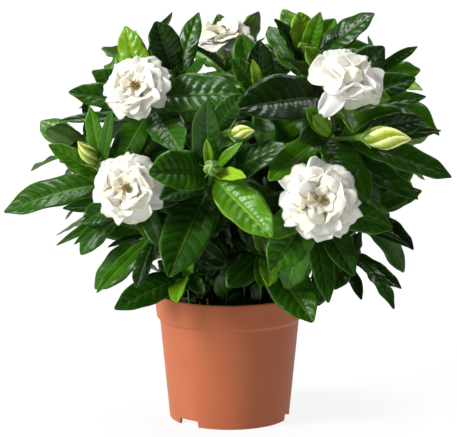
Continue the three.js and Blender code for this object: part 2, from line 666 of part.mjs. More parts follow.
// A bloom's petals, each clear of those before it where an attempt allows
function growPetals(shoot) {
  const placed = [];
  PETAL_LAYERS.forEach((layer, row) => {
    for (let number = 0; number < layer.petals; number++) {
      const attempts = Array.from({ length: TRIES }, (_, attempt) => layerPetal(shoot, row, number, attempt));
      const shapeOf = (petal) => obstacle(petalSkin(petal, PETAL_CLEARANCE), shoot.name, 'petal');
      const isClear = (petal) => !placed.some((other) => crosses(shapeOf(petal), other));
      const petal = attempts.find(isClear) ?? attempts.at(-1);
      placed.push(shapeOf(petal));
      shoot.petals.push(petal);
    }
  });
}

function standObstacles(shoot) {
  const stems = [greenSkin(shoot, CLEARANCE)];
  const flowers = [];
  if (shoot.bloom || shoot.bud) stems.push(...calyxSkins(shoot, CLEARANCE));
  if (shoot.bloom) flowers.push(tubeSkin(shoot), ...shoot.petals.map((petal) => petalSkin(petal, CLEARANCE)));
  if (shoot.bud) flowers.push(budSkin(shoot, CLEARANCE));
  obstacles.push(...stems.map((stem) => obstacle(stem, shoot.name, 'stem')));
  obstacles.push(...flowers.map((flower) => obstacle(flower, 'flowers', 'petal')));
  obstacles.push(obstacle(woodySkin(shoot, CLEARANCE), 'wood', 'stem'));
}

// Grows the first of a leaf's attempts that is clear of all that stands
function grow(shoot, attemptAt, isFree) {
  for (let attempt = 0; attempt < TRIES; attempt++) {
    const leaf = attemptAt(attempt);
    const body = leafSkin(leaf, CLEARANCE);
    const midrib = [0.3, 0.5, 0.7, 0.85, 1].map((t) => leafFrame(leaf, t).p);
    const candidate = obstacle(body, shoot.name, 'leaf');
    const inPlace = [...midrib, ...body.points.slice(3)].every(isFree);
    if (inPlace && !obstacles.some((other) => crosses(candidate, other))) {
      obstacles.push(candidate);
      shoot.grown.push(leaf);
      return;
    }
  }
}

const inTheOpen = (p) => offThePot(p) && inTheDome(p) && !SHOOTS.some((shoot) => hides(shoot, p));

SHOOTS.forEach(prepare);
SHOOTS.filter((shoot) => shoot.bloom).forEach(growPetals);
SHOOTS.forEach(standObstacles);
CUTTINGS.forEach((cutting) => obstacles.push(obstacle(trunkSkin(cutting, CLEARANCE), 'wood', 'stem')));

for (const shoot of SHOOTS) {
  (shoot.leaves ?? []).forEach((leaf, number) => {
    grow(shoot, (attempt) => knownLeaf(shoot, leaf, number, attempt), offThePot);
  });
}
WHORLS.forEach(({ leaves }, whorl) => {
  const bearing = SHOOTS.filter(({ whorlShares, bare = 0 }) => whorl >= bare && whorl < whorlShares.length);
  for (const shoot of bearing) {
    const most = shoot.most ?? (shoot.leaves ? LEAVES_IN_FRONT : LEAVES_BEHIND);
    for (let number = 0; number < leaves && shoot.grown.length < most; number++) {
      grow(shoot, (attempt) => whorlLeaf(shoot, whorl, number, attempt), inTheOpen);
    }
  }
});

// Pot and soil

function lathe(profile, sides) {
  const points = profile.map(([r, z]) => new THREE.Vector2(r, z));
  return new THREE.LatheGeometry(points, sides).rotateX(Math.PI / 2);
}

const BAND_FOOT = POT_HEIGHT - RIM_BAND;
const BAND_RADIUS = BODY_TOP_RADIUS + RIM_STEP;

function potSolid() {
  const shell = solidOfGeometry(lathe([
    [0, FLOOR_UNDERSIDE], [BASE_RADIUS - FOOT_WIDTH - 0.6, FLOOR_UNDERSIDE], [BASE_RADIUS - FOOT_WIDTH, 0],
    [BASE_RADIUS, 0], [BODY_TOP_RADIUS, BAND_FOOT], [BAND_RADIUS, BAND_FOOT + 2.4],
    [RIM_RADIUS, POT_HEIGHT - RIM_ROUND], [RIM_RADIUS - RIM_ROUND, POT_HEIGHT],
    [RIM_RADIUS - WALL, POT_HEIGHT - 0.4],
    [BAND_RADIUS - WALL, BAND_FOOT + 4], [BODY_TOP_RADIUS - WALL, BAND_FOOT + 1.4],
    [BASE_RADIUS - WALL, FLOOR_TOP], [0, FLOOR_TOP],
  ], POT_SIDES));
  const cuts = [];
  for (let i = 0; i < NOTCHES; i++) {
    const notch = new THREE.BoxGeometry(NOTCH_DEPTH, NOTCH_WIDTH, 2 * NOTCH_HEIGHT);
    notch.translate(BASE_RADIUS, 0, 0).rotateZ(degToRad(NOTCH_TURN + (360 / NOTCHES) * i));
    cuts.push(solidOfGeometry(notch));
  }
  for (let i = 0; i <= DRAIN_HOLES; i++) {
    const hole = new THREE.CylinderGeometry(DRAIN_RADIUS, DRAIN_RADIUS, 8, 8).rotateX(Math.PI / 2);
    hole.translate(i < DRAIN_HOLES ? DRAIN_CIRCLE : 0, 0, (FLOOR_UNDERSIDE + FLOOR_TOP) / 2);
    cuts.push(solidOfGeometry(hole.rotateZ((TURN * i) / DRAIN_HOLES)));
  }
  return oneBody(shell.subtract(wasm.Manifold.union(cuts)));
}

function soilLump(x, y) {
  return SOIL_LUMP * (Math.sin(x * 0.31 + 1) * Math.cos(y * 0.27) + 0.6 * Math.sin(x * 0.12 - y * 0.4));
}

function soilSolid() {
  const ledge = BODY_TOP_RADIUS - WALL - 2 * GAP;
  const edge = ledge + (RIM_STEP * (SOIL_EDGE - BAND_FOOT)) / (RIM_BAND / 2);
  const mound = (r) => SOIL_EDGE + SOIL_CROWN * (1 - r / edge);
  const geometry = lathe([
    [0, FLOOR_TOP + GAP], [BASE_RADIUS - WALL - 2 * GAP, FLOOR_TOP + GAP], [ledge, BAND_FOOT],
    [edge, SOIL_EDGE],
    ...SOIL_RINGS.map((r) => [r, mound(r)]), [0, mound(0)],
  ], SOIL_SIDES);
  const spots = geometry.attributes.position;
  for (let i = 0; i < spots.count; i++) {
    const z = spots.getZ(i);
    if (z > SOIL_EDGE + 0.01) spots.setZ(i, z + soilLump(spots.getX(i), spots.getY(i)));
  }
  const holes = CUTTINGS.map(({ foot: [x, y] }) => {
    const radius = TRUNK_RADIUS + HOLE_CLEARANCE;
    const hole = new THREE.CylinderGeometry(radius, radius, 2 * HOLE_DEPTH, 8).rotateX(Math.PI / 2);
    return solidOfGeometry(hole.translate(x, y, SOIL_EDGE));
  });
  return oneBody(solidOfGeometry(geometry).subtract(wasm.Manifold.union(holes)));
}

// The whole plant

const plant = new THREE.Group();

function add(name, solid, colour) {
  const mesh = solid.getMesh();
  const geometry = new THREE.BufferGeometry();
  geometry.setAttribute('position', new THREE.BufferAttribute(mesh.vertProperties, 3));
  geometry.setIndex(new THREE.BufferAttribute(mesh.triVerts, 1));
  geometry.computeVertexNormals();
  const [color, roughness] = COLOURS[colour];
  const piece = new THREE.Mesh(geometry, new THREE.MeshStandardMaterial({ color, roughness, metalness: 0 }));
  piece.name = name;
  plant.add(piece);
}

add('pot', potSolid(), 'pot');
add('soil', soilSolid(), 'soil');

CUTTINGS.forEach((cutting, i) => {
  const branches = SHOOTS.filter((shoot) => shoot.cutting === i).map((shoot) => woodySkin(shoot, 0));
  add(`wood_${i + 1}`, fuse([trunkSkin(cutting), ...branches]), 'wood');
});

for (const shoot of SHOOTS) {
  const calyx = shoot.bloom || shoot.bud ? calyxSkins(shoot) : [];
  const leaves = shoot.grown.map((leaf) => leafSkin(leaf));
  add(`shoot_${shoot.name}`, fuse([greenSkin(shoot, 0), ...calyx, ...leaves]), 'leaf');
  if (shoot.bloom) {
    const petals = shoot.petals.map((petal) => petalSkin(petal));
    add(`bloom_${shoot.name}`, fuse([tubeSkin(shoot), ...petals]), 'petal');
    add(`heart_${shoot.name}`, solidOfSkin(heartSkin(shoot)), 'heart');
  }
  if (shoot.bud) add(`bud_${shoot.name}`, solidOfSkin(budSkin(shoot)), 'bud');
}

export default plant;
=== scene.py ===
# %% [markdown]
# Potted gardenia. A young gardenia is four rooted cuttings in one plastic pot. They fork into green shoots with
# whorls of glossy ribbed leaves, and some shoots end in a creamy double flower or a pointed bud. The frame already
# holds the plant's plan as plain solids, so each step here takes one part of it and gives it its real surface.

# %% Load the frame
import math

import bmesh
import bpy
import numpy as np
from mathutils import Matrix, Vector


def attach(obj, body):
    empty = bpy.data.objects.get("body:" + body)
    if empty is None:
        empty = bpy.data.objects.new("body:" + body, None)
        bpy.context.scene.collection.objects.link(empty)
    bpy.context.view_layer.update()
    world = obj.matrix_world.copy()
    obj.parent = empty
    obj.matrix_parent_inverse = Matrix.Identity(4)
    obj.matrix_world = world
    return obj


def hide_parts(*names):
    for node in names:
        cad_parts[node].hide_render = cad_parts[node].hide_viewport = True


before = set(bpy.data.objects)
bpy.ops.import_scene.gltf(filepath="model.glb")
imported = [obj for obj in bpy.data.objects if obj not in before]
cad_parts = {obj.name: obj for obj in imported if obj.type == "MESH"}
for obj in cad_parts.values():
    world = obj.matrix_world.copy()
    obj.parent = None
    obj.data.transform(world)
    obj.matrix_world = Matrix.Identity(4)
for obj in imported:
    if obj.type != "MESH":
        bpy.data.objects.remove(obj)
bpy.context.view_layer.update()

# %% [markdown]
# The camera comes first, because it decides how much detail can be seen. It is a long lens from a little above
# the flowers, as in a catalogue picture: a long lens keeps the pot's sides nearly straight.

# %% Camera
FRAME_WIDTH = 457
FOCAL_PIXELS = 1963.87
CAMERA_AWAY = 1.6587
CAMERA_HEIGHT = 0.44436
CAMERA_PITCH = 0.16241
SENSOR = 36


def new_object(name, data):
    """An object that is in the scene."""
    made = bpy.data.objects.new(name, data)
    bpy.context.scene.collection.objects.link(made)
    return made


camera = new_object("camera", bpy.data.cameras.new("camera"))
camera.location = (0, -CAMERA_AWAY, CAMERA_HEIGHT)
camera.rotation_euler = (math.pi / 2 - CAMERA_PITCH, 0, 0)
camera.data.sensor_width = SENSOR
camera.data.lens = FOCAL_PIXELS * SENSOR / FRAME_WIDTH
camera.data.shift_x = -1 / FRAME_WIDTH
bpy.context.scene.camera = camera
print("Lens in mm:", round(camera.data.lens, 1))

# %% [markdown]
# Every material here is built from the same few moves, so four helpers are worth having. Paint colours are written
# as hex, the way a colour picker gives them, and shaders work in linear light, so one function turns hex to
# linear. One adds any node, with its settings and its links, in one call. Two more start a material and end it.


# %% Colour and nodes
def hex_colour(code):
    """The linear RGBA of an sRGB colour such as 'c56c48'."""
    shares = [int(code[i : i + 2], 16) / 255 for i in (0, 2, 4)]
    return (*[x / 12.92 if x <= 0.04045 else ((x + 0.055) / 1.055) ** 2.4 for x in shares], 1)


def add(tree, kind, *values, stops=(), **named):
    """Adds a node to a tree, sets it and links it.

    Values fill the inputs that the node shows, in their order. A name with a capital is an input, any other name a
    setting. A node given as a value is linked by its first output, and stops are a ramp's places and colours.
    """
    node = tree.nodes.new(kind)
    for name, value in named.items():
        if name[0].islower():
            setattr(node, name, value)
    for i, (place, colour) in enumerate(stops):
        ramp = node.color_ramp
        element = ramp.elements[i] if i < 2 else ramp.elements.new(1)
        element.position = place
        element.color = hex_colour(colour)
    inputs = list(zip([socket for socket in node.inputs if socket.enabled], values))
    inputs += [(node.inputs[name.replace("_", " ")], named[name]) for name in named if name[0].isupper()]
    for socket, value in inputs:
        if isinstance(value, bpy.types.Node):
            value = next(output for output in value.outputs if output.enabled)
        if isinstance(value, bpy.types.NodeSocket):
            tree.links.new(value, socket)
        elif value is not None:
            socket.default_value = value
    return node


def new_material(name, **values):
    """A material with one Principled shader, and its constant values on the shader's own sockets."""
    material = bpy.data.materials.new(name)
    material.use_nodes = True
    tree = material.node_tree
    shader = tree.nodes["Principled BSDF"]
    for socket, value in values.items():
        shader.inputs[socket.replace("_", " ")].default_value = value
    return material, tree, shader


def connect(tree, shader, **sources):
    """Links outputs to the shader's inputs of these names."""
    for socket, source in sources.items():
        tree.links.new(source, shader.inputs[socket.replace("_", " ")])


# %% [markdown]
# Leaves, petals and stems are all one of two skins. A sheet has an upper and a lower face that meet at the rim, so
# it is closed and has a real edge. A sleeve is a row of rings, closed at both ends. Writing them once as arrays
# keeps hundreds of leaves quick to make. The plan of the plant is in millimetres, and only the last step, which
# makes the mesh, turns them to metres.

# %% Skins
MM = 0.001


def sheet_skin(upper, lower, across, along, finishes=(0, 1)):
    """A closed sheet from two grids of points. Its map holds each point's place across it and along it, 0 to 1."""
    rows, lanes = upper.shape[:2]
    top = np.arange(rows * lanes).reshape(rows, lanes)
    bottom = top.copy()
    inner = (rows - 1) * (lanes - 2)
    bottom[:-1, 1:-1] = rows * lanes + np.arange(inner).reshape(rows - 1, lanes - 2)
    points = np.concatenate([upper.reshape(-1, 3), lower[:-1, 1:-1].reshape(-1, 3)])
    uv = np.stack([0.5 + 0.5 * across, along], 2)
    uv = np.concatenate([uv.reshape(-1, 2), uv[:-1, 1:-1].reshape(-1, 2)])
    over = np.stack([top[:-1, :-1], top[:-1, 1:], top[1:, 1:], top[1:, :-1]], 2).reshape(-1, 4)
    under = np.stack([bottom[:-1, :-1], bottom[1:, :-1], bottom[1:, 1:], bottom[:-1, 1:]], 2).reshape(-1, 4)
    root = [int(i) for i in (*top[0, ::-1], *bottom[0, 1:-1])]
    faces = [*over.tolist(), *under.tolist(), root]
    kinds = [finishes[0]] * len(over) + [finishes[1]] * (len(under) + 1)
    return {"points": points, "faces": faces, "kinds": kinds, "uv": uv}


def sleeve_skin(rings, along, finish=0):
    """A closed sleeve from rings of points, with each point's place round it and along it."""
    count, sides = rings.shape[:2]
    index = np.arange(count * sides).reshape(count, sides)
    beside = np.roll(index, -1, axis=1)
    walls = np.stack([index[:-1], beside[:-1], beside[1:], index[1:]], 2).reshape(-1, 4)
    faces = [*walls.tolist(), index[0, ::-1].tolist(), index[-1].tolist()]
    turns = np.broadcast_to(np.arange(sides) / sides, (count, sides))
    uv = np.stack([turns, np.broadcast_to(np.asarray(along)[:, None], (count, sides))], 2).reshape(-1, 2)
    return {"points": rings.reshape(-1, 3), "faces": faces, "kinds": [finish] * len(faces), "uv": uv}


def make_piece(name, skins, materials, nodes):
    """Joins skins into one mesh object that rides on the plant and stands for the given nodes."""
    faces, kinds = [], []
    start = 0
    for skin in skins:
        faces += [[start + i for i in face] for face in skin["faces"]]
        kinds += skin["kinds"]
        start += len(skin["points"])
    points, uv = (np.concatenate([skin[key] for skin in skins]) for key in ("points", "uv"))
    mesh = bpy.data.meshes.new(name)
    mesh.from_pydata((points * MM).tolist(), [], faces)
    mesh.polygons.foreach_set("material_index", kinds)
    mesh.shade_smooth()
    corners = np.empty(len(mesh.loops), dtype=np.int32)
    mesh.loops.foreach_get("vertex_index", corners)
    layer = mesh.uv_layers.new(name="surface")
    layer.uv.foreach_set("vector", uv[corners].astype(np.float32).ravel())
    for label in ("tone", "hue", "rib"):
        values = [np.broadcast_to(skin.get(label, 0.5), len(skin["points"])) for skin in skins]
        mesh.attributes.new(label, "FLOAT", "POINT").data.foreach_set("value", np.concatenate(values))
    for material in materials:
        mesh.materials.append(material)
    mesh.update()
    piece = new_object(name, mesh)
    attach(piece, "root")
    if nodes:
        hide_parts(*nodes)
    return piece


# %% [markdown]
# The plan of the plant. These lists and rules are the same as the solids' own, so the fine leaves and petals stand
# exactly where the plain ones do. Chance comes from a small mixing function of whole numbers, which gives the same
# draw for the same leaf every time, whatever is made before it.

# %% Chance and directions
SEED = 20417
UP = np.array([0.0, 0, 1])
WHOLE = 0xFFFFFFFF


def draw(*keys):
    """A number from 0 to 1 that depends only on its keys."""
    h = SEED
    for key in keys:
        h = ((h ^ ((key + 0x9E3779B9) & WHOLE)) * 0x85EBCA6B) & WHOLE
        h ^= h >> 13
        h = (h * 0xC2B2AE35) & WHOLE
        h ^= h >> 16
    return h / 2**32


def spread(width, *keys):
    return (draw(*keys) - 0.5) * width


def unit(v):
    return v / np.linalg.norm(v)


def square_to(axis, v):
    """The part of a vector that is square to a unit axis, at unit length."""
    return unit(v - axis * (v @ axis))


def turned(v, axis, angle):
    """A vector turned about a unit axis."""
    c, s = math.cos(angle), math.sin(angle)
    return v * c + np.cross(axis, v) * s + axis * ((axis @ v) * (1 - c))


def bent(p0, p1, p2, t):
    """A quadratic curve's points and unit directions at shares of its length."""
    along = (p1 - p0) * (1 - t) + (p2 - p1) * t
    return (p0 * (1 - t) ** 2 + p1 * 2 * t * (1 - t) + p2 * t**2,
            along / np.linalg.norm(along, axis=-1, keepdims=True))


def smooth(low, high, x):
    """Rises from 0 at low to 1 at high without corners."""
    t = np.clip((x - low) / (high - low), 0, 1)
    return t * t * (3 - 2 * t)


# %% Cuttings and shoots
# Each large leaf in view is [tip x, y, z, width, whorl, youth and shade], where the last is 0 for an old dark leaf
# and
# 1 for a new bright one. Most leaves on the right of the bush, away from the key light, are listed darker: that part
# is painted shade. The other leaves follow the rule of the whorls.
CUTTINGS = [
    {"foot": (-17, -13), "fork": (-26, -22)},
    {"foot": (15, -15), "fork": (26, -24)},
    {"foot": (16, 13), "fork": (26, 24)},
    {"foot": (-14, 15), "fork": (-26, 24)},
]
SHOOTS = [
    {"name": "middle", "cutting": 0, "tip": (-14, -138, 234), "aim": (0.02, -0.93, 0.36), "bud": (15, 6.5),
     "leaves": [
         (-63, -152, 233, 36, 1, 0.4), (-18, -120, 284, 30, 1, 0.2), (-47, -161, 152, 40, 2, 0.12),
         (33, -166, 184, 33, 1, 0.62), (44, -140, 254, 26, 2, 0.3), (13, -162, 231, 12, 0, 0.95),
         (-54, -140, 210, 24, 2, 0.3), (-15, -146, 254, 9, 0, 0.8), (9, -142, 256, 9, 0, 0.6),
     ]},
    {"name": "left_flower", "cutting": 0, "tip": (-80, -135, 218), "aim": (-0.2, -0.93, 0.3), "bloom": 28.5,
     "leaves": [
         (-136, -80, 194, 15, 2, 0.35), (-118, -118, 188, 22, 0, 0.3), (-124, -120, 171, 11, 1, 0.2),
         (-143, -92, 166, 11, 2, 0.35),
     ]},
    {"name": "upper_left_flower", "cutting": 0, "tip": (-74, -100, 294), "aim": (-0.25, -0.87, 0.43), "bloom": 28,
     "leaves": [
         (10, -106, 290, 34, 0, 0.3), (-130, -82, 289, 24, 1, 0.3), (-112, -62, 304, 24, 1, 0.35),
         (-36, -134, 246, 32, 1, 0.4), (-140, -70, 264, 12, 2, 0.35), (-85, -58, 341, 25, 0, 0.8),
     ]},
    {"name": "left_bud", "cutting": 0, "tip": (-108, -94, 233), "aim": (-0.48, -0.38, 0.79), "bud": (25, 6.6),
     "leaves": [
         (-182, -95, 193, 32, 1, 0.42), (-146, -92, 248, 18, 1, 0.6), (-112, -88, 278, 16, 0, 0.6),
         (-94, -104, 272, 14, 0, 0.45), (-136, -70, 232, 14, 1, 0.4),
     ]},
    {"name": "lower_left", "cutting": 0, "tip": (-72, -95, 172), "aim": (-0.62, -0.72, -0.12),
     "leaves": [
         (-107, -112, 130, 12, 1, 0.4), (-76, -92, 130, 16, 1, 0.25), (-94, -122, 166, 8, 0, 0.2),
         (-86, -112, 165, 7, 1, 0.2),
     ]},
    {"name": "low_front_left", "cutting": 0, "tip": (-38, -66, 137), "aim": (-0.55, -0.72, 0.3),
     "leaves": [(-94, -94, 113, 26, 1, 0.25), (-20, -90, 126, 14, 0, 0.2)]},
    {"name": "centre_bud", "cutting": 0, "tip": (2, -130, 262), "aim": (0.86, -0.46, 0.18), "bud": (20, 5.5),
     "leaves": [(10, -120, 292, 20, 1, 0.2), (22, -150, 236, 18, 1, 0.25)]},
    {"name": "right_flower", "cutting": 1, "tip": (70, -150, 211), "aim": (0.08, -0.95, 0.28), "bloom": 32,
     "leaves": [
         (129, -130, 186, 26, 0, 0.5), (31, -160, 156, 34, 0, 0.4), (78, -142, 128, 20, 1, 0.2),
         (98, -144, 150, 24, 1, 0.12), (145, -110, 168, 9, 1, 0.1),
     ]},
    {"name": "low_right_front", "cutting": 1, "tip": (32, -92, 158), "aim": (0.25, -0.93, 0.12),
     "leaves": [(67, -122, 108, 36, 1, 0.4), (24, -120, 136, 14, 1, 0.5)]},
    {"name": "right_lower", "cutting": 1, "tip": (106, -66, 154), "aim": (0.75, -0.6, -0.1),
     "leaves": [(141, -80, 127, 17, 1, 0.3), (137, -90, 112, 19, 0, 0.3), (107, -96, 121, 16, 1, 0.1)]},
    {"name": "right_middle", "cutting": 1, "tip": (124, -72, 194), "aim": (0.78, -0.6, 0.1),
     "leaves": [(150, -84, 160, 18, 1, 0.1), (156, -66, 203, 20, 1, 0.25)]},
    {"name": "big_bud", "cutting": 1, "tip": (108, -112, 256), "aim": (0.93, -0.32, 0.05), "bud": (37, 9.5),
     "leaves": [
         (181, -76, 219, 26, 1, 0.25), (152, -98, 204, 22, 2, 0.15), (158, -78, 266, 20, 0, 0.15),
         (173, -66, 256, 16, 2, 0.1),
     ]},
    {"name": "upper_right_flower", "cutting": 1, "tip": (94, -112, 301), "aim": (0.3, -0.8, 0.52), "bloom": 32,
     "leaves": [
         (6, -132, 281, 43, 0, 0.08), (124, -84, 326, 28, 0, 0.1),
         (152, -60, 298, 25, 1, 0.15), (162, -48, 282, 18, 2, 0.3),
     ]},
    {"name": "top_right", "cutting": 1, "tip": (63, -38, 316), "aim": (0.05, -0.1, 0.99),
     "leaves": [
         (57, -38, 351, 27, 0, 0.8), (76, -46, 346, 20, 0, 0.62), (115, -54, 350, 30, 0, 0.1),
         (36, -52, 346, 20, 1, 0.25),
     ]},
    {"name": "top_middle", "cutting": 0, "tip": (24, -100, 290), "aim": (-0.1, -0.8, 0.6),
     "leaves": [
         (2, -104, 318, 18, 0, 0.4), (24, -84, 331, 24, 1, 0.12), (58, -126, 284, 26, 1, 0.2),
         (18, -112, 318, 9, 0, 0.9), (38, -106, 302, 12, 0, 0.65),
     ]},
    {"name": "top_flower", "cutting": 3, "tip": (-5, 2, 326), "aim": (-0.05, -0.2, 0.98), "bloom": 29,
     "leaves": [(-34, -40, 326, 18, 0, 0.1), (34, -30, 336, 14, 0, 0.5)]},
    {"name": "top_left", "cutting": 0, "tip": (-46, -60, 306), "aim": (-0.05, -0.25, 0.96),
     "leaves": [
         (-60, -64, 345, 27, 0, 0.2), (-25, -40, 351, 20, 1, 0.25), (-18, -82, 316, 18, 1, 0.25),
         (-46, -64, 332, 10, 0, 0.85),
     ]},
    {"name": "right_twig", "cutting": 1, "tip": (122, -30, 300), "aim": (0.85, -0.1, 0.5),
     "leaves": [(156, -30, 322, 10, 0, 0.25), (150, -20, 304, 14, 1, 0.2)]},
    {"name": "right_inner", "cutting": 1, "tip": (82, -118, 258), "aim": (0.3, -0.94, 0.1),
     "leaves": [(94, -140, 226, 32, 1, 0.3), (50, -142, 256, 22, 1, 0.2), (122, -130, 232, 20, 1, 0.15)]},
    {"name": "behind_low_1", "cutting": 2, "tip": (104, 44, 166), "aim": (0.9, 0.35, 0.1)},
    {"name": "behind_low_2", "cutting": 2, "tip": (62, 98, 152), "aim": (0.5, 0.85, 0.05)},
    {"name": "behind_low_3", "cutting": 3, "tip": (-24, 112, 156), "aim": (-0.15, 0.98, 0.1)},
    {"name": "behind_low_4", "cutting": 3, "tip": (-88, 76, 164), "aim": (-0.8, 0.6, 0.05)},
    {"name": "behind_low_5", "cutting": 3, "tip": (-104, 0, 178), "aim": (-0.98, 0, 0.1)},
    {"name": "behind_middle_1", "cutting": 2, "tip": (132, 22, 230), "aim": (0.93, 0.15, 0.3)},
    {"name": "behind_middle_2", "cutting": 2, "tip": (96, 92, 226), "aim": (0.68, 0.68, 0.28), "bud": (24, 7.5)},
    {"name": "behind_middle_3", "cutting": 2, "tip": (14, 126, 232), "aim": (0.1, 0.93, 0.35)},
    {"name": "behind_middle_4", "cutting": 3, "tip": (-74, 104, 228), "aim": (-0.55, 0.78, 0.3), "bud": (22, 7)},
    {"name": "behind_middle_5", "cutting": 3, "tip": (-130, 24, 228), "aim": (-0.93, 0.15, 0.3)},
    {"name": "behind_high_1", "cutting": 2, "tip": (84, 36, 300), "aim": (0.55, 0.35, 0.76)},
    {"name": "behind_high_2", "cutting": 2, "tip": (10, 78, 302), "aim": (0.05, 0.62, 0.78)},
    {"name": "behind_high_3", "cutting": 3, "tip": (-80, 38, 298), "aim": (-0.6, 0.3, 0.75)},
]

# %% Stems
SOIL_EDGE = 97
HOLE_DEPTH = 26
TRUNK_RADIUS = 2.6
TRUNK_TOP = 166
BRANCH_RADIUS = 1.8
GREEN_RADIUS = 1.9
TIP_RADIUS = 1.6
WOODY_SHARE = 0.42
RIM_RADIUS = 65
FORK_HEIGHT = 82
FORK_RISE = 0.24
STEM_REACH = 0.36
CALYX_LENGTH = 7
TUBE_LENGTH = 17
WHORLS_BELOW = [4, 17, 36, 58, 82]


def trunk_at(cutting, z):
    """The middle of a cutting's woody stem at a height."""
    lean = min(max((z - SOIL_EDGE) / (TRUNK_TOP - SOIL_EDGE), 0), 1) ** 2
    foot, fork = np.array(cutting["foot"]), np.array(cutting["fork"])
    return np.array([*(foot + (fork - foot) * lean), z])


def stem_at(shoot, t):
    """The middle of a shoot's stem at a share of its length."""
    p0, p1, p2, p3 = shoot["path"]
    u = 1 - t
    return u**3 * p0 + 3 * u * u * t * p1 + 3 * u * t * t * p2 + t**3 * p3


def stem_way(shoot, t):
    """The direction of a shoot's stem there."""
    p0, p1, p2, p3 = shoot["path"]
    u = 1 - t
    return unit(u * u * (p1 - p0) + 2 * u * t * (p2 - p1) + t * t * (p3 - p2))


def prepare(shoot, index):
    """Works out a shoot's path and where its whorls of leaves stand."""
    shoot["index"] = index
    shoot["aim"] = unit(np.array(shoot["aim"], dtype=float))
    shoot["tip"] = np.array(shoot["tip"], dtype=float)
    behind = CALYX_LENGTH + TUBE_LENGTH if "bloom" in shoot else CALYX_LENGTH if "bud" in shoot else 0
    end = shoot["tip"] - shoot["aim"] * behind
    start = trunk_at(CUTTINGS[shoot["cutting"]], min(TRUNK_TOP - 4, FORK_HEIGHT + FORK_RISE * end[2]))
    reach = np.linalg.norm(end - start) * STEM_REACH
    shoot["path"] = [start, start + UP * reach, end - shoot["aim"] * reach, end]
    spots = np.array([stem_at(shoot, t) for t in np.linspace(0, 1, 201)])
    shoot["length"] = np.linalg.norm(np.diff(spots, axis=0), axis=1).sum()
    shares = [1 - below / shoot["length"] for below in WHORLS_BELOW]
    shoot["whorls"] = [share for share in shares if share > WOODY_SHARE + 0.04]
    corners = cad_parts[f"shoot_{shoot['name']}"].data.vertices
    shoot["corners"] = np.array([v.co for v in corners]) / MM


for index, shoot in enumerate(SHOOTS):
    prepare(shoot, index)
print(len(SHOOTS), "shoots, from", round(min(s["length"] for s in SHOOTS)), "to",
      round(max(s["length"] for s in SHOOTS)), "mm long")

# %% [markdown]
# A leaf is planned by its stem end, its tip, its width and the way its face looks: to the light, and on the shoots
# in view also to the front. The solids gave each leaf up to 26 tries at a clear place. Here the same tries are
# drawn again, and the one that was kept is the one whose tip is a corner of the solid, so no leaf has to be tested
# for clearance a second time. A place where the solids found no room stays empty here too.

# %% Where leaves stand
WHORLS = [
    {"leaves": 3, "pitch": 36, "size": 0.68, "youth": 0.62},
    {"leaves": 3, "pitch": 62, "size": 0.95, "youth": 0.42},
    {"leaves": 3, "pitch": 84, "size": 1, "youth": 0.3},
    {"leaves": 3, "pitch": 96, "size": 1, "youth": 0.2},
    {"leaves": 3, "pitch": 100, "size": 0.9, "youth": 0.15},
]
WHORL_TURN = 62
WHORL_STAGGER = 2.6
UNDER_BLOOM_PITCH = 24
LEAF_LENGTH = 76
LEAF_SLENDERNESS = 0.42
LEAF_ARCH = 0.1
LEAF_TWIST = 0.3
LEAF_SAG = 0.16
LEAF_TO_SKY = 0.75
LEAF_OUTWARDS = 0.35
LEAF_TO_FRONT = 0.8
TRIES = 26
EASE = 1.1
SAME_SPOT = 0.3


def leaf_share(shoot, whorl, number):
    share = shoot["whorls"][min(whorl, len(shoot["whorls"]) - 1)]
    return share - WHORL_STAGGER * (number % 3) / shoot["length"]


def leaf_from(shoot, whorl, number, tip, wide, roll, keys):
    """A leaf from a whorl to a tip, with its face turned to the light and along the stem."""
    share = leaf_share(shoot, whorl, number)
    base = stem_at(shoot, share)
    outwards = unit(np.array([base[0], base[1], 0]))
    light = stem_way(shoot, share) + UP * LEAF_TO_SKY + outwards * LEAF_OUTWARDS
    if "leaves" in shoot:
        light[1] -= LEAF_TO_FRONT
    chord = unit(tip - base)
    return {
        "base": base,
        "tip": tip,
        "up": turned(square_to(chord, light), chord, roll),
        "wide": wide,
        "arch": LEAF_ARCH + spread(0.1, *keys, 1),
        "twist": spread(LEAF_TWIST, *keys, 2),
        "keys": keys,
    }


def known_leaf(shoot, plan, number, attempt):
    """A large leaf in view."""
    x, y, z, wide, whorl, youth = plan
    keys = (shoot["index"], 100 + number, attempt)
    ease = EASE * attempt
    tip = np.array([x, y, z]) + [spread(ease, *keys, 3), spread(2 * ease, *keys, 4), spread(ease, *keys, 5)]
    roll = spread(0.06 * attempt, *keys, 6)
    leaf = leaf_from(shoot, whorl, number, tip, wide * (1 - 0.012 * attempt), roll, keys)
    return leaf | {"youth": youth, "view": "front"}


def whorl_leaf(shoot, whorl, number, attempt):
    """One leaf of a whorl, by rule."""
    rule = WHORLS[whorl]
    share = leaf_share(shoot, whorl, number)
    axis = stem_way(shoot, share)
    keys = (shoot["index"], whorl * 10 + number, attempt)
    loose = 0.35 + 0.05 * attempt
    turn = math.radians(WHORL_TURN * whorl + 360 / rule["leaves"] * number)
    turn += 2 * math.pi * draw(shoot["index"], 7) + spread(2 * loose, *keys, 8)
    pitch = rule["pitch"] + (UNDER_BLOOM_PITCH if "bloom" in shoot else 0)
    angle = math.radians(pitch) + spread(loose, *keys, 9)
    length = LEAF_LENGTH * rule["size"] * (0.86 + 0.24 * draw(*keys, 10)) * (1 - 0.016 * attempt)
    out = turned(square_to(axis, UP), axis, turn)
    way = axis * math.cos(angle) + out * math.sin(angle)
    tip = stem_at(shoot, share) + way * length
    tip[2] -= LEAF_SAG * length * math.hypot(way[0], way[1])
    wide = length * (LEAF_SLENDERNESS + spread(0.06, *keys, 11))
    leaf = leaf_from(shoot, whorl, number, tip, wide, spread(0.5, *keys, 12), keys)
    return leaf | {"youth": rule["youth"] + spread(0.24, *keys, 13), "view": "outer"}


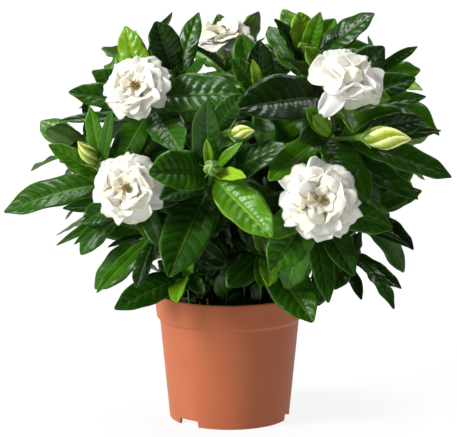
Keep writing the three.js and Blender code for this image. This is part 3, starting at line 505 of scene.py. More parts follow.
def grown(shoot, attempt_at):
    """The attempt whose tip is a corner of the shoot's solid, if there is one."""
    for attempt in range(TRIES):
        leaf = attempt_at(attempt)
        if np.linalg.norm(shoot["corners"] - leaf["tip"], axis=1).min() < SAME_SPOT:
            return leaf
    return None


places = 0
for shoot in SHOOTS:
    plans = shoot.get("leaves", [])
    leaves = [grown(shoot, lambda a: known_leaf(shoot, plan, n, a)) for n, plan in enumerate(plans)]
    for whorl in range(len(shoot["whorls"])):
        leaves += [grown(shoot, lambda a: whorl_leaf(shoot, whorl, n, a)) for n in range(WHORLS[whorl]["leaves"])]
    shoot["grown"] = [leaf for leaf in leaves if leaf]
    places += len(leaves)
print(sum(len(s["grown"]) for s in SHOOTS), "leaves found for", places, "places on", len(SHOOTS), "shoots")

# %% [markdown]
# A gardenia leaf is thick, waxy and quilted: the midrib and the side veins are sunk into its upper face, and the
# green bulges up between them. The two halves fold up a little from the midrib and the rim waves. A flat blade
# with painted veins would lose all of its highlights, so the quilting is real height in a fine grid, and the
# grid's two faces part by the leaf's thickness.

# %% Leaf shape
STALK_SHARE = 0.1
STALK_HALF_WIDTH = 0.7
STALK_ROWS = [0, 0.04, 0.08]
STALK_THICKER = 0.7
LEAF_END = 0.995
VEINS = 9.5
VEIN_LEAN = 0.15
VEIN_CURVE = 0.05
LEAF_DETAIL = {"front": (54, 12, 0.085), "outer": (36, 8, 0.05), "inner": (11, 4, 0)}
GROOVE = 0.5
GROOVE_HALF_WIDTH = 0.8
BULGE_POWER = 0.85
FOLD = 0.23
FOLD_SPREAD = 0.3
DROOP = 0.05
WAVE = 0.05
YOUNG_WAVE = 0.05
RIPPLES = (2, 2)
BLADE_THICKNESS = 0.55
RIM_THINNER = 0.4


def leaf_outline(x):
    """The half-width at x from 0 at the stalk to 1 at the tip, in shares of the greatest, with a drawn-out tip."""
    return 2.3 * x**0.62 * (1 - x) ** 0.6 * (1 - 0.34 * smooth(0.82, 1, x))


def rib_phase(s, x):
    """A count that is whole on each side vein, for a place across and along a leaf."""
    across = np.abs(s)
    return VEINS * (x - VEIN_LEAN * across - VEIN_CURVE * across**3) + 0.25 * (s > 0)


def leaf_frames(leaf, t):
    """Rows of points along a leaf's midrib, with the directions along, across and out of its face."""
    t = t[:, None]
    base, tip = leaf["base"], leaf["tip"]
    length = np.linalg.norm(tip - base)
    bend = base + (tip - base) * 0.45 + leaf["up"] * leaf["arch"] * length
    middle, along = bent(base, bend, tip, t)
    side = np.cross(along, leaf["up"])
    side /= np.linalg.norm(side, axis=1, keepdims=True)
    angle = leaf["twist"] * (t - 0.3)
    side = side * np.cos(angle) + np.cross(along, side) * np.sin(angle)
    return middle, along, side, np.cross(side, along)


def leaf_skin(leaf):
    """A quilted leaf with its stalk. A leaf out of view has fewer faces and less quilting."""
    keys = leaf["keys"]
    rows, lanes, quilt = LEAF_DETAIL[leaf["view"]]
    t = np.concatenate([STALK_ROWS, np.linspace(STALK_SHARE + 0.01, LEAF_END, rows)])
    s = np.linspace(-1, 1, lanes + 1)
    s = np.sign(s) * np.abs(s) ** 0.9
    middle, _, side, face = leaf_frames(leaf, t)
    x = np.clip((t - STALK_SHARE) / (1 - STALK_SHARE), 0, 1)
    half = np.maximum(STALK_HALF_WIDTH * (1 - 0.8 * smooth(0.5, 1, t)), leaf["wide"] / 2 * leaf_outline(x))
    x, s = np.meshgrid(x, s, indexing="ij")
    half = half[:, None]
    blade = smooth(0, 0.12, x)
    across = np.abs(s)
    fold = FOLD + spread(FOLD_SPREAD, *keys, 31)
    height = half * blade * (fold * across - DROOP * across**2)
    wave = WAVE + YOUNG_WAVE * draw(*keys, 32) * leaf["youth"]
    ripples = RIPPLES[0] + RIPPLES[1] * draw(*keys, 33)
    turn = 2 * math.pi * (ripples * x + np.where(s > 0, draw(*keys, 34), draw(*keys, 35)))
    height += wave * leaf["wide"] * across**2 * blade * (1 - x) ** 0.3 * np.sin(turn)
    bulge = (0.5 - 0.5 * np.cos(2 * math.pi * rib_phase(s, x))) ** BULGE_POWER
    envelope = blade * np.clip(1 - across**5, 0, 1) * smooth(0, 0.16, across) * smooth(0, 0.12, 1 - x)
    height += quilt * leaf["wide"] * 0.5 * bulge * envelope
    height -= GROOVE * blade * np.exp(-((across * half / GROOVE_HALF_WIDTH) ** 2)) * smooth(0, 0.1, 1 - x)
    surface = middle[:, None] + side[:, None] * (s * half)[..., None] + face[:, None] * height[..., None]
    thick = BLADE_THICKNESS * (1 - RIM_THINNER * across) + STALK_THICKER * (1 - blade) * (1 - across)
    rise = face[:, None] * (thick / 2)[..., None]
    skin = sheet_skin(surface + rise, surface - rise, s, x)
    ribs = rib_phase(2 * skin["uv"][:, 0] - 1, skin["uv"][:, 1])
    # The tone carries the leaf's youth, and on leaves listed in shade also painted shade.
    return skin | {"tone": leaf["youth"], "hue": draw(*keys, 36), "rib": ribs}


sample = leaf_skin(SHOOTS[0]["grown"][0])
print("A leaf in view has", len(sample["faces"]), "faces")

# %% [markdown]
# Shoots: a green stem with a ring at each whorl, where old leaf scars are, and a calyx where it carries a flower or
# a bud. The calyx is a ribbed cup with narrow lobes that spread round the base of the bloom.

# %% Stem and calyx shapes
STEM_SIDES = 10
RING_SWELL = 0.16
CALYX_PLACES = (0, 0.4, 1)
CALYX_RADII = (1.8, 2.8, 3.2)
CALYX_OVERLAP = 2
CALYX_LOBES = 5
LOBE_LENGTH = 9
LOBE_LEAN = 0.95
LOBE_RADIUS = 1.1


def rings_along(path, ways, radii, sides, around=None):
    """Rings of points round a path, which face its ways. Around can shape each ring by its angle."""
    angles = 2 * math.pi * np.arange(sides) / sides
    rings = []
    side = None
    for k, (p, way, radius) in enumerate(zip(path, ways, radii)):
        hint = side if side is not None else (UP if abs(way[2]) < 0.8 else np.array([1.0, 0, 0]))
        side = square_to(way, hint)
        other = np.cross(way, side)
        r = radius * (around(angles, k) if around else np.ones(sides))
        rings.append(p + np.outer(r * np.cos(angles), side) + np.outer(r * np.sin(angles), other))
    return np.array(rings)


def rings_on_axis(foot, aim, heights, radii, sides, around):
    """Rings of points round a straight axis."""
    return rings_along([foot + aim * h for h in heights], [aim] * len(heights), radii, sides, around)


def green_skin(shoot):
    """A shoot's green stem, swollen a little at each whorl."""
    t = np.linspace(WOODY_SHARE, 1, 34)
    radii = np.interp(t, [WOODY_SHARE, 1], [GREEN_RADIUS, TIP_RADIUS])
    for share in shoot["whorls"]:
        radii *= 1 + RING_SWELL * np.exp(-(((t - share) * shoot["length"] / 2) ** 2))
    path = [stem_at(shoot, share) for share in t]
    ways = [stem_way(shoot, share) for share in t]
    return sleeve_skin(rings_along(path, ways, radii, STEM_SIDES), t, finish=2) | {"tone": 0.5}


def calyx_skins(shoot):
    """A ribbed cup on the stem's end, and its lobes."""
    end, aim = shoot["path"][3], shoot["aim"]
    share = np.linspace(0, 1, 8)
    heights = -CALYX_OVERLAP + (CALYX_LENGTH + CALYX_OVERLAP) * share
    radii = np.interp(share, CALYX_PLACES, CALYX_RADII)
    ribbed = lambda angles, k: 1 + 0.07 * np.cos(CALYX_LOBES * angles)
    cup = rings_on_axis(end, aim, heights, radii, 30, ribbed)
    skins = [sleeve_skin(cup, share, finish=2) | {"tone": 0.7}]
    for i in range(CALYX_LOBES):
        out = turned(square_to(aim, UP), aim, 2 * math.pi * i / CALYX_LOBES)
        foot = end + aim * CALYX_LENGTH / 2 + out * CALYX_RADII[0]
        point = foot + aim * LOBE_LENGTH + out * LOBE_LENGTH * LOBE_LEAN
        bend = (foot + point) / 2 + aim * 0.8
        t = np.linspace(0, 1, 9)[:, None]
        lobe, _ = bent(foot, bend, point, t)
        flat = lambda angles, k: np.sqrt(np.cos(angles) ** 2 * 0.3 + np.sin(angles) ** 2)
        radii = LOBE_RADIUS * np.linspace(1, 0.08, 9)
        rings = rings_along(lobe, [unit(point - foot)] * 9, radii, 8, flat)
        skins.append(sleeve_skin(rings, t[:, 0], finish=2) | {"tone": 0.75})
    return skins


# %% [markdown]
# Woody stems: old gardenia stems are thin, grey-brown and a little knobbly, with short lengthwise cracks. Each
# cutting is one trunk with its branches, as sleeves that run into each other.

# %% Woody stem shapes
BARK_SIDES = 14
KNOBS = 0.06


def bark_skin(path, ways, radii, key):
    """A stem with a slightly uneven girth."""
    spots = [2 * math.pi * draw(key, 41, i) for i in range(3)]
    uneven = lambda angles, k: 1 + KNOBS * (np.sin(2 * angles + 0.9 * k + spots[0]) + np.sin(3 * angles - 0.6 * k))
    along = np.linspace(0, 1, len(path))
    return sleeve_skin(rings_along(path, ways, radii, BARK_SIDES, uneven), along)


def trunk_skin(cutting, key):
    heights = np.linspace(SOIL_EDGE - HOLE_DEPTH + 1, TRUNK_TOP, 30)
    path = np.array([trunk_at(cutting, z) for z in heights])
    ways = np.gradient(path, axis=0)
    ways /= np.linalg.norm(ways, axis=1, keepdims=True)
    radii = np.interp(heights, [heights[0], TRUNK_TOP], [TRUNK_RADIUS, BRANCH_RADIUS])
    return bark_skin(path, ways, radii, key)


def branch_skin(shoot):
    t = np.linspace(0, WOODY_SHARE, 22)
    radii = np.interp(t, [0, WOODY_SHARE], [BRANCH_RADIUS, GREEN_RADIUS])
    path, ways = [stem_at(shoot, x) for x in t], [stem_way(shoot, x) for x in t]
    return bark_skin(path, ways, radii, shoot["index"])


# %% [markdown]
# Petals: a double gardenia has broad waxy petals in layers. They are narrow at the root, spread to a wide blade
# with a notched, wavy rim, and roll back at the outside of the flower, while the inner ones cup round the middle.
# Each follows the midline of its plain solid, found by the same tries as the leaves.

# %% Where petals stand
PETAL_LAYERS = [
    {"petals": 6, "root": -5.6, "bend": (0.14, 0.45), "end": (-0.14, 1), "half": 0.42, "cup": -0.04},
    {"petals": 6, "root": -3, "bend": (0.34, 0.42), "end": (0.16, 0.84), "half": 0.36, "cup": 0.05},
    {"petals": 4, "root": -1, "bend": (0.38, 0.26), "end": (0.44, 0.52), "half": 0.32, "cup": 0.3},
]
PETAL_ROOT_RADIUS = 2.2
PETAL_ROLL = 0.16
# A petal's width follows a sine: where it starts and how far it runs, in half turns
PETAL_OUTLINE = (0.03, 0.6)
# A plain petal's half thickness in mm, and how far its end narrows and slants, in shares of its width
PLAIN_HALF = 0.65
PLAIN_END = 0.78
PLAIN_SLANT = 0.16


def petal_plan(shoot, layer, turn, size, roll, keys, row, number, lift=0, root=PETAL_ROOT_RADIUS):
    """A petal of a layer, turned round its flower's axis and lifted along it."""
    return {
        "out": turned(square_to(shoot["aim"], UP), shoot["aim"], turn),
        "root": (layer["root"], root),
        "bend": tuple(share * size for share in layer["bend"]),
        "end": ((layer["end"][0] + lift) * size, layer["end"][1] * size),
        "half": layer["half"] * size,
        "cup": layer["cup"],
        "roll": PETAL_ROLL + roll,
        "keys": keys,
        "row": row,
        "number": number,
    }


def layer_petal(shoot, row, number, attempt):
    """One petal of a layer."""
    layer = PETAL_LAYERS[row]
    keys = (shoot["index"], 200 + row * 10 + number, attempt)
    place = number + 0.5 * row + spread(0.16 + 0.03 * attempt, *keys, 1)
    turn = 2 * math.pi / layer["petals"] * place + 2 * math.pi * draw(shoot["index"], 21)
    size = shoot["bloom"] * (0.92 + 0.12 * draw(*keys, 2))
    lift = spread(0.1 + 0.01 * attempt, *keys, 3)
    return petal_plan(shoot, layer, turn, size, spread(0.06, *keys, 4), keys, row, number, lift)


def petal_frames(shoot, petal, t):
    """Rows of points along a petal's midline, with the directions along, across and inwards to the axis."""
    axis, out = shoot["aim"], petal["out"]
    p0, p1, p2 = (shoot["tip"] + axis * h + out * r for h, r in (petal["root"], petal["bend"], petal["end"]))
    middle, along = bent(p0, p1, p2, t[:, None])
    side = np.broadcast_to(unit(np.cross(axis, out)), along.shape)
    side = side * math.cos(petal["roll"]) + np.cross(along, side) * math.sin(petal["roll"])
    return middle, along, side, np.cross(side, along)


def kept_petal(shoot, row, number):
    """The attempt whose end has a corner of the bloom's solid."""
    for attempt in range(TRIES):
        petal = layer_petal(shoot, row, number, attempt)
        middle, along, side, inner = (rows[0] for rows in petal_frames(shoot, petal, np.array([1.0])))
        wide = petal["half"] * math.sin(math.pi * sum(PETAL_OUTLINE)) * PLAIN_END
        edge = middle + inner * (petal["cup"] * wide + PLAIN_HALF) - along * PLAIN_SLANT * wide
        for spot in (edge + side * wide, edge - side * wide, middle - inner * PLAIN_HALF):
            if np.linalg.norm(shoot["bloom_corners"] - spot, axis=1).min() < SAME_SPOT:
                return petal
    print("No corner of the solid fits petal", number, "of row", row, "on", shoot["name"])
    return layer_petal(shoot, row, number, 0)


blooming = [shoot for shoot in SHOOTS if "bloom" in shoot]
for shoot in blooming:
    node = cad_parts[f"bloom_{shoot['name']}"]
    shoot["bloom_corners"] = np.array([v.co for v in node.data.vertices]) / MM
    shoot["petals"] = [
        kept_petal(shoot, row, n) for row, layer in enumerate(PETAL_LAYERS) for n in range(layer["petals"])
    ]
    print(shoot["name"], "petals kept at attempts", [petal["keys"][2] for petal in shoot["petals"]])

# %% [markdown]
# Leaf materials. A gardenia's upper leaf face has a thick clear cuticle, so it is dark green with hard white
# highlights, like waxed leather. The underside has no such wax: it is paler, greyer and nearly matte. Attributes of
# the mesh steer the upper face: where each point lies between two side veins, and how young its leaf is, because
# new leaves are a bright yellow-green; on leaves listed in shade that tone is lowered as painted shade. On the upper
# face the side vein lines of all but the youngest leaves are darkened as painted shade in their grooves, and a pale
# line along the rim is a painted highlight.

# %% Leaf materials
VEIN_LINE = 0.13
MOTTLE = 0.011
FINE_GRAIN = 0.0011
STREAK = 0.0025


def leaf_marks(tree):
    """How far a point is from its leaf's midrib and from the nearest side vein, and its leaf's tone: its youth,
    lowered as painted shade on leaves listed in shade.
    """
    place = add(tree, "ShaderNodeSeparateXYZ", add(tree, "ShaderNodeUVMap", uv_map="surface"))
    side = add(tree, "ShaderNodeMath", place, 2, -1, operation="MULTIPLY_ADD")
    across = add(tree, "ShaderNodeMath", side, operation="ABSOLUTE")
    rib = add(tree, "ShaderNodeAttribute", attribute_name="rib")
    between = add(tree, "ShaderNodeMath", rib, 0.5, operation="PINGPONG")
    return across, between, add(tree, "ShaderNodeAttribute", attribute_name="tone")


def leaf_upper():
    """Living leaf with a thick waxy cuticle: clear, smooth and glossy over deep green."""
    material, tree, shader = new_material(
        "Gardenia leaf, waxy upper face", IOR=1.45, Specular_IOR_Level=0.29
    )
    across, between, tone = leaf_marks(tree)
    spot = add(tree, "ShaderNodeTexCoord").outputs["Object"]
    hue = add(tree, "ShaderNodeAttribute", attribute_name="hue")
    cloudy = add(tree, "ShaderNodeTexNoise", Vector=spot, Scale=1 / MOTTLE, Detail=3)
    # The leaf's tone: its youth, and on leaves listed in shade also painted shade.
    tone_mix = add(tree, "ShaderNodeMath", hue, 0.2, tone, operation="MULTIPLY_ADD")
    tone_mix = add(tree, "ShaderNodeMath", cloudy, 0.16, tone_mix, operation="MULTIPLY_ADD")
    green = add(tree, "ShaderNodeValToRGB", tone_mix, stops=[
        (0.2, "0f2602"), (0.4, "1c4403"), (0.65, "306204"), (0.88, "4a820a"), (1, "7ba51c"),
    ])
    # Pale green for the midrib, which is its real colour, and for the painted highlight along the rim.
    pale_midrib_and_rim_highlight = add(tree, "ShaderNodeValToRGB", tone_mix, stops=[
        (0.2, "47692c"), (0.45, "557a2c"), (0.65, "6a9630"), (1, "aac846"),
    ])
    # Side-vein colour: near-black on old and middle-aged leaves, which is painted shade in the vein grooves, and
    # paler on the youngest, which is their real pale vein.
    vein_green_and_groove_shade = add(tree, "ShaderNodeValToRGB", tone_mix, stops=[
        (0.2, "071301"), (0.5, "0c2202"), (0.75, "2c600a"), (1, "86ab2c"),
    ])
    vein = add(tree, "ShaderNodeMapRange", between, 0, VEIN_LINE, 0.75, 0)
    inside = add(tree, "ShaderNodeMapRange", across, 0.65, 1, 1, 0.15)
    vein = add(tree, "ShaderNodeMath", vein, inside, operation="MULTIPLY")
    midrib = add(tree, "ShaderNodeMapRange", across, 0.015, 0.055, 0.7, 0)
    # A pale line along the rim: a painted highlight where the leaf's edge catches the light.
    rim_highlight = add(tree, "ShaderNodeMapRange", across, 0.94, 0.99, 0, 0.8)
    pale = add(tree, "ShaderNodeMath", rim_highlight, midrib, operation="MAXIMUM")
    colour = add(tree, "ShaderNodeMix", vein, green, vein_green_and_groove_shade, data_type="RGBA")
    colour = add(tree, "ShaderNodeMix", pale, colour.outputs[2], pale_midrib_and_rim_highlight, data_type="RGBA")
    grain = add(tree, "ShaderNodeTexNoise", Vector=spot, Scale=1 / FINE_GRAIN, Detail=2)
    bump = add(tree, "ShaderNodeBump", Strength=0.06, Distance=0.0002, Height=grain)
    gloss = add(tree, "ShaderNodeMapRange", cloudy, 0.3, 0.7, 0.26, 0.36)
    connect(tree, shader, Base_Color=colour.outputs[2], Roughness=gloss.outputs[0], Normal=bump.outputs[0])
    return material


def leaf_underside():
    """The unwaxed side of a living leaf: soft grey-green that hardly shines."""
    material, tree, shader = new_material("Gardenia leaf, matte underside", Roughness=0.55, IOR=1.42)
    across, between, tone = leaf_marks(tree)
    green = add(tree, "ShaderNodeValToRGB", tone, stops=[(0.1, "223c16"), (0.5, "4d7530"), (1, "9cc257")])
    vein = add(tree, "ShaderNodeMapRange", between, 0, VEIN_LINE, 0.7, 0)
    midrib = add(tree, "ShaderNodeMapRange", across, 0.04, 0.09, 0.9, 0)
    pale = add(tree, "ShaderNodeMath", vein, midrib, operation="MAXIMUM")
    colour = add(tree, "ShaderNodeMix", pale, green, hex_colour("7f9c5c"), data_type="RGBA")
    spot = add(tree, "ShaderNodeTexCoord").outputs["Object"]
    grain = add(tree, "ShaderNodeTexNoise", Vector=spot, Scale=1 / FINE_GRAIN, Detail=3)
    bump = add(tree, "ShaderNodeBump", Strength=0.3, Distance=0.0003, Height=grain)
    connect(tree, shader, Base_Color=colour.outputs[2], Normal=bump.outputs[0])
    return material


def green_bark():
    """Young green shoot and calyx: smooth, faintly streaked along its length."""
    material, tree, shader = new_material("Gardenia green shoot, smooth skin", Roughness=0.42, IOR=1.45)
    tone = add(tree, "ShaderNodeAttribute", attribute_name="tone")
    spot = add(tree, "ShaderNodeTexCoord").outputs["Object"]
    streaks = add(tree, "ShaderNodeTexNoise", Vector=spot, Scale=1 / STREAK, Detail=2)
    tone_mix = add(tree, "ShaderNodeMath", streaks, 0.35, tone, operation="MULTIPLY_ADD")
    green = add(tree, "ShaderNodeValToRGB", tone_mix, stops=[(0.5, "3d6420"), (0.8, "5c8f2c"), (1, "8cb845")])
    bump = add(tree, "ShaderNodeBump", Strength=0.3, Distance=0.0003, Height=streaks)
    connect(tree, shader, Base_Color=green.outputs[0], Normal=bump.outputs[0])
    return material


LEAF_FINISHES = [leaf_upper(), leaf_underside(), green_bark()]

# %% Leafy shoots
faces = 0
for shoot in SHOOTS:
    skins = [leaf_skin(leaf) for leaf in shoot["grown"]] + [green_skin(shoot)]
    if "bloom" in shoot or "bud" in shoot:
        skins += calyx_skins(shoot)
    piece = make_piece(f"leafy_shoot_{shoot['name']}", skins, LEAF_FINISHES, [f"shoot_{shoot['name']}"])
    faces += len(piece.data.polygons)
print("The shoots have", faces, "faces")

# %% [markdown]
# Inside the bush, older and darker leaves fill the space between the stems, and low twigs with small leaves hide
# the soil. From a step away they are only dark green depth, so the plan leaves them out and they are grown here.
# They face outwards, so that light meets their upper side. Each gets a few tries at a place that is clear of all
# the leaves and petals before it. Space is cut into small cells, and a cell that holds a point of some leaf is
# taken, which makes the test quick. It is a rough test: stems aren't in it, and leaves can still meet between their
# points.

# %% Inner leaves and low twigs
INNER_SHARES = [0.14, 0.22, 0.3, 0.38, 0.48, 0.6, 0.72, 0.84, 0.93]
INNER_LEAF = 52
INNER_TRIES = 28
CELL = 5.5
# Inner leaves stay this far over the soil, and over this height wherever they cross the ring round the rim
SOIL_CLEAR = 5
OVER_RIM = 116
RIM_RING = (58, RIM_RADIUS + 4)
LOW_TWIGS = 26
TWIG_CIRCLE = (14, 50)
TWIG_HEIGHT = (14, 50)
TWIG_LEAVES = 9
TWIG_LEAF = 34
TWIG_RADIUS = 1


def leaf_spots(leaf):
    """A few points all over a leaf."""
    t = np.linspace(0.15, 0.98, 12)
    middle, _, side, _ = leaf_frames(leaf, t)
    half = (leaf["wide"] / 2 * leaf_outline((t - STALK_SHARE) / (1 - STALK_SHARE)))[:, None]
    return np.concatenate([middle + side * half * s for s in (-1, -0.5, 0, 0.5, 1)])


def petal_spots(shoot, petal):
    """A few points all over a petal."""
    middle, _, side, _ = petal_frames(shoot, petal, np.linspace(0.2, 1, 6))
    return np.concatenate([middle + side * petal["half"] * s for s in (-0.9, -0.4, 0, 0.4, 0.9)])


def cells_of(spots):
    return set(map(tuple, np.round(spots / CELL).astype(int).tolist()))


def free_leaf(start, way, length, keys, taken):
    """A leaf at a clear place near the one asked for, or nothing."""
    for attempt in range(INNER_TRIES):
        stray = np.array([spread(0.3 + 0.14 * attempt, *keys, attempt, k) for k in range(3)])
        towards = unit(way + stray)
        outwards = unit(start * [1, 1, 0])
        leaf = {
            "base": start, "tip": start + towards * length * (1 - 0.02 * attempt),
            "up": square_to(towards, 0.5 * UP + outwards), "wide": 0.45 * length, "arch": 0.1,
            "twist": spread(0.6, *keys, 91), "keys": (*keys, attempt),
            "youth": 0.1 + 0.15 * draw(*keys, 92), "view": "inner",
        }
        spots = leaf_spots(leaf)
        away, heights = np.hypot(spots[:, 0], spots[:, 1]), spots[:, 2]
        at_rim = (away >= RIM_RING[0]) & (away < RIM_RING[1]) & (heights < OVER_RIM)
        if heights.min() > SOIL_EDGE + SOIL_CLEAR and not at_rim.any():
            cells = cells_of(spots)
            if not cells & taken:
                taken |= cells
                return leaf
    return None


taken = cells_of(np.concatenate(
    [leaf_spots(leaf) for shoot in SHOOTS for leaf in shoot["grown"]]
    + [petal_spots(shoot, petal) for shoot in blooming for petal in shoot["petals"]]
))
inner_leaves, twigs, wanted = [], [], 0
for n in range(LOW_TWIGS):
    turn = 2 * math.pi * (n * 0.618 % 1)
    away = TWIG_CIRCLE[0] + (TWIG_CIRCLE[1] - TWIG_CIRCLE[0]) * math.sqrt((n + 0.5) / LOW_TWIGS)
    out = np.array([math.cos(turn), math.sin(turn), 0])
    foot = out * away + UP * (SOIL_EDGE - 4)
    top = foot + out * 6 + UP * (4 + TWIG_HEIGHT[0] + (TWIG_HEIGHT[1] - TWIG_HEIGHT[0]) * draw(n, 801))
    twigs.append([foot, top])
    for k in range(TWIG_LEAVES):
        keys = (800 + n, k)
        around = turned(out, UP, 2.4 * k + n)
        spot = foot + (top - foot) * (0.3 + 0.7 * k / (TWIG_LEAVES - 1))
        wanted += 1
        leaf = free_leaf(spot, around + UP * (0.5 + 0.1 * k), TWIG_LEAF * (0.8 + 0.4 * draw(*keys, 3)), keys, taken)
        inner_leaves += [leaf] if leaf else []
print(len(inner_leaves), "of", wanted, "leaves on low twigs")
for shoot in SHOOTS:
    for k, share in enumerate(INNER_SHARES):
        for n in range(3):
            keys = (shoot["index"], 700 + 10 * k + n)
            axis = stem_way(shoot, share)
            out = turned(square_to(axis, UP), axis, 2.1 * n + 1.1 * k)
            length = INNER_LEAF * (0.8 + 0.4 * draw(*keys, 3))
            wanted += 1
            leaf = free_leaf(stem_at(shoot, share), out + 0.3 * axis, length, keys, taken)
            inner_leaves += [leaf] if leaf else []
print(len(inner_leaves), "of", wanted, "inner leaves found room")
skins = [leaf_skin(leaf) for leaf in inner_leaves]
for foot, top in twigs:
    share = np.linspace(0, 1, 8)
    path = [foot + (top - foot) * x for x in share]
    rings = rings_along(path, [unit(top - foot)] * 8, TWIG_RADIUS * np.linspace(1, 0.7, 8), 8)
    skins.append(sleeve_skin(rings, share, finish=2))
make_piece("inner_leaves", skins, LEAF_FINISHES, [])

# %% [markdown]
# Bark. It is grey-brown, thin and dry, with fine cracks along the stem, so its pattern is noise squeezed tight
# round the stem and drawn out along it.

# %% Woody stems
BARK_CRACK = 0.0007


def grained(name, noise, stops, relief=None, stretch=None, **values):
    """A material whose colour and relief follow one noise. Relief is a strength and a depth in metres."""
    material, tree, shader = new_material(name, **values)
    spot = add(tree, "ShaderNodeTexCoord").outputs["Object"]
    if stretch:
        spot = add(tree, "ShaderNodeMapping", spot, Scale=stretch)
    grain = add(tree, "ShaderNodeTexNoise", Vector=spot, **noise)
    connect(tree, shader, Base_Color=add(tree, "ShaderNodeValToRGB", grain, stops=stops).outputs[0])
    if relief:
        bump = add(tree, "ShaderNodeBump", Strength=relief[0], Distance=relief[1], Height=grain)
        connect(tree, shader, Normal=bump.outputs[0])
    return material


# Thin dry bark, cracked along the grain: matte and grey-brown.
bark = grained(
    "Gardenia bark, dry and finely cracked", {"Scale": 1 / BARK_CRACK, "Detail": 4},
    [(0.35, "4a3a26"), (0.5, "7a6643"), (0.7, "a3946c")], (0.6, 0.0005), (1, 1, 0.16), Roughness=0.85,
)
for number, cutting in enumerate(CUTTINGS):
    skins = [trunk_skin(cutting, 900 + number)]
    skins += [branch_skin(shoot) for shoot in SHOOTS if shoot["cutting"] == number]
    make_piece(f"woody_stem_{number + 1}", skins, [bark], [f"wood_{number + 1}"])
print(len(CUTTINGS), "woody stems")

# %% [markdown]
# The petals of a closed gardenia bud wind round each other like a rolled umbrella. Each one's edge stands proud of
# the next, so the section is a ring of shallow steps, and the whole turns as it rises. The middle of a half-closed
# flower is wound in the same way.

# %% Wound petals
BUD_PROFILE = (
    [0, 0.1, 0.2, 0.33, 0.45, 0.6, 0.74, 0.87, 0.96, 1],
    [0.42, 0.7, 0.88, 0.98, 1, 0.86, 0.62, 0.36, 0.15, 0.03],
)
BUD_PETALS = 5
BUD_TURN = 1.9
BUD_NOD = 0.05
BUD_STEP = 0.17


def wound_skin(shoot, length, radius):
    """Petals wound round each other to a point, nodding a little."""
    t = np.linspace(0, 1, 56)
    upwards = square_to(shoot["aim"], UP)
    path = [shoot["tip"] + shoot["aim"] * x * length - upwards * BUD_NOD * length * x * x for x in t]
    radii = np.interp(t, *BUD_PROFILE) * radius
    turns = []

    def wound(angles, k):
        round_share = (BUD_PETALS * (angles + BUD_TURN * t[k]) / (2 * math.pi)) % 1
        turns.append(round_share)
        return 1 - BUD_STEP * (round_share**1.5) * smooth(0, 0.25, t[k]) + 0.03

    rings = rings_along(path, [shoot["aim"]] * len(t), radii, 80, wound)
    skin = sleeve_skin(rings, t)
    skin["uv"] = np.stack([np.concatenate(turns), skin["uv"][:, 1]], 1)
    return skin | {"hue": draw(shoot["index"], 61), "tone": 0.4}


# %% [markdown]
# Petal shapes. The grid's rows don't end straight: each lane stops a little earlier towards the edges. A low power
# of the distance from the midline gives a pointed petal and a high power a squared one, and a small dip in the
# middle is the notch that gardenia petals have. The outer petals roll their edges back, and the inner ones cup. A
# small ruffled bowl closes the middle. In open flowers the inner row opens wider than in the plain solids, and on
# the top flower it closes more. One flower is still half closed, like a rose: its inner petals wrap the middle, and
# some of its outer ones are short or hang.

# %% Petals
PETAL_ROWS = 24
PETAL_LANES = 14
PETAL_THICKNESS = (1.1, 0.55)
PETAL_OVER = 0.02
PETAL_WIDTHS = (0.98, 0.24)
# How high each kind of wave in a petal is, in shares of its half width, and how far its rim rolls back
SLOW_WAVE, QUICK_WAVE, LONG_WAVE = 0.07, 0.05, 0.06
ROLLED_BACK = (0.12, 0.22)
OPEN_INNER_END = (0.38, 0.6)
SHUT_INNER_END = (0.56, 0.46)
HALF_CLOSED = "upper_right_flower"
RAGGED = {"right_flower": 1, "upper_left_flower": 0.8, "top_flower": 1, "left_flower": 0.5}
REACH = {
    (0, 0): (0.72, 1), (0, 1): (1.02, 1), (0, 2): (0.5, 0.8), (0, 5): (1.2, 0.66),
    (1, 0): (0.92, 1), (1, 1): (0.66, 0.9), (1, 2): (0.9, 0.9), (1, 5): (0.78, 1),
}
HEART_LAYER = {"petals": 5, "root": 1, "bend": (0.12, 0.36), "end": (0.36, 0.5), "half": 0.34, "cup": 0.2}
CLOSED_HEART_LAYER = {"petals": 4, "root": 0, "bend": (0.34, 0.3), "end": (0.44, 0.24), "half": 0.34, "cup": 0.6}
HEART_ROOT_RADIUS = PETAL_ROOT_RADIUS + 0.8
CLOSED_CORE = (19, 9)
TUBE_PROFILE = ([-17, -8, 0], [2.4, 3, 4.8])
BOWL_PROFILE = ([2, 6, 10.5, 11, 10.6, 6, 1.5], [0.5, 4.4, 7.6, 8.5, 8.8, 6.2, 5])
BOWL_LOBES = 6


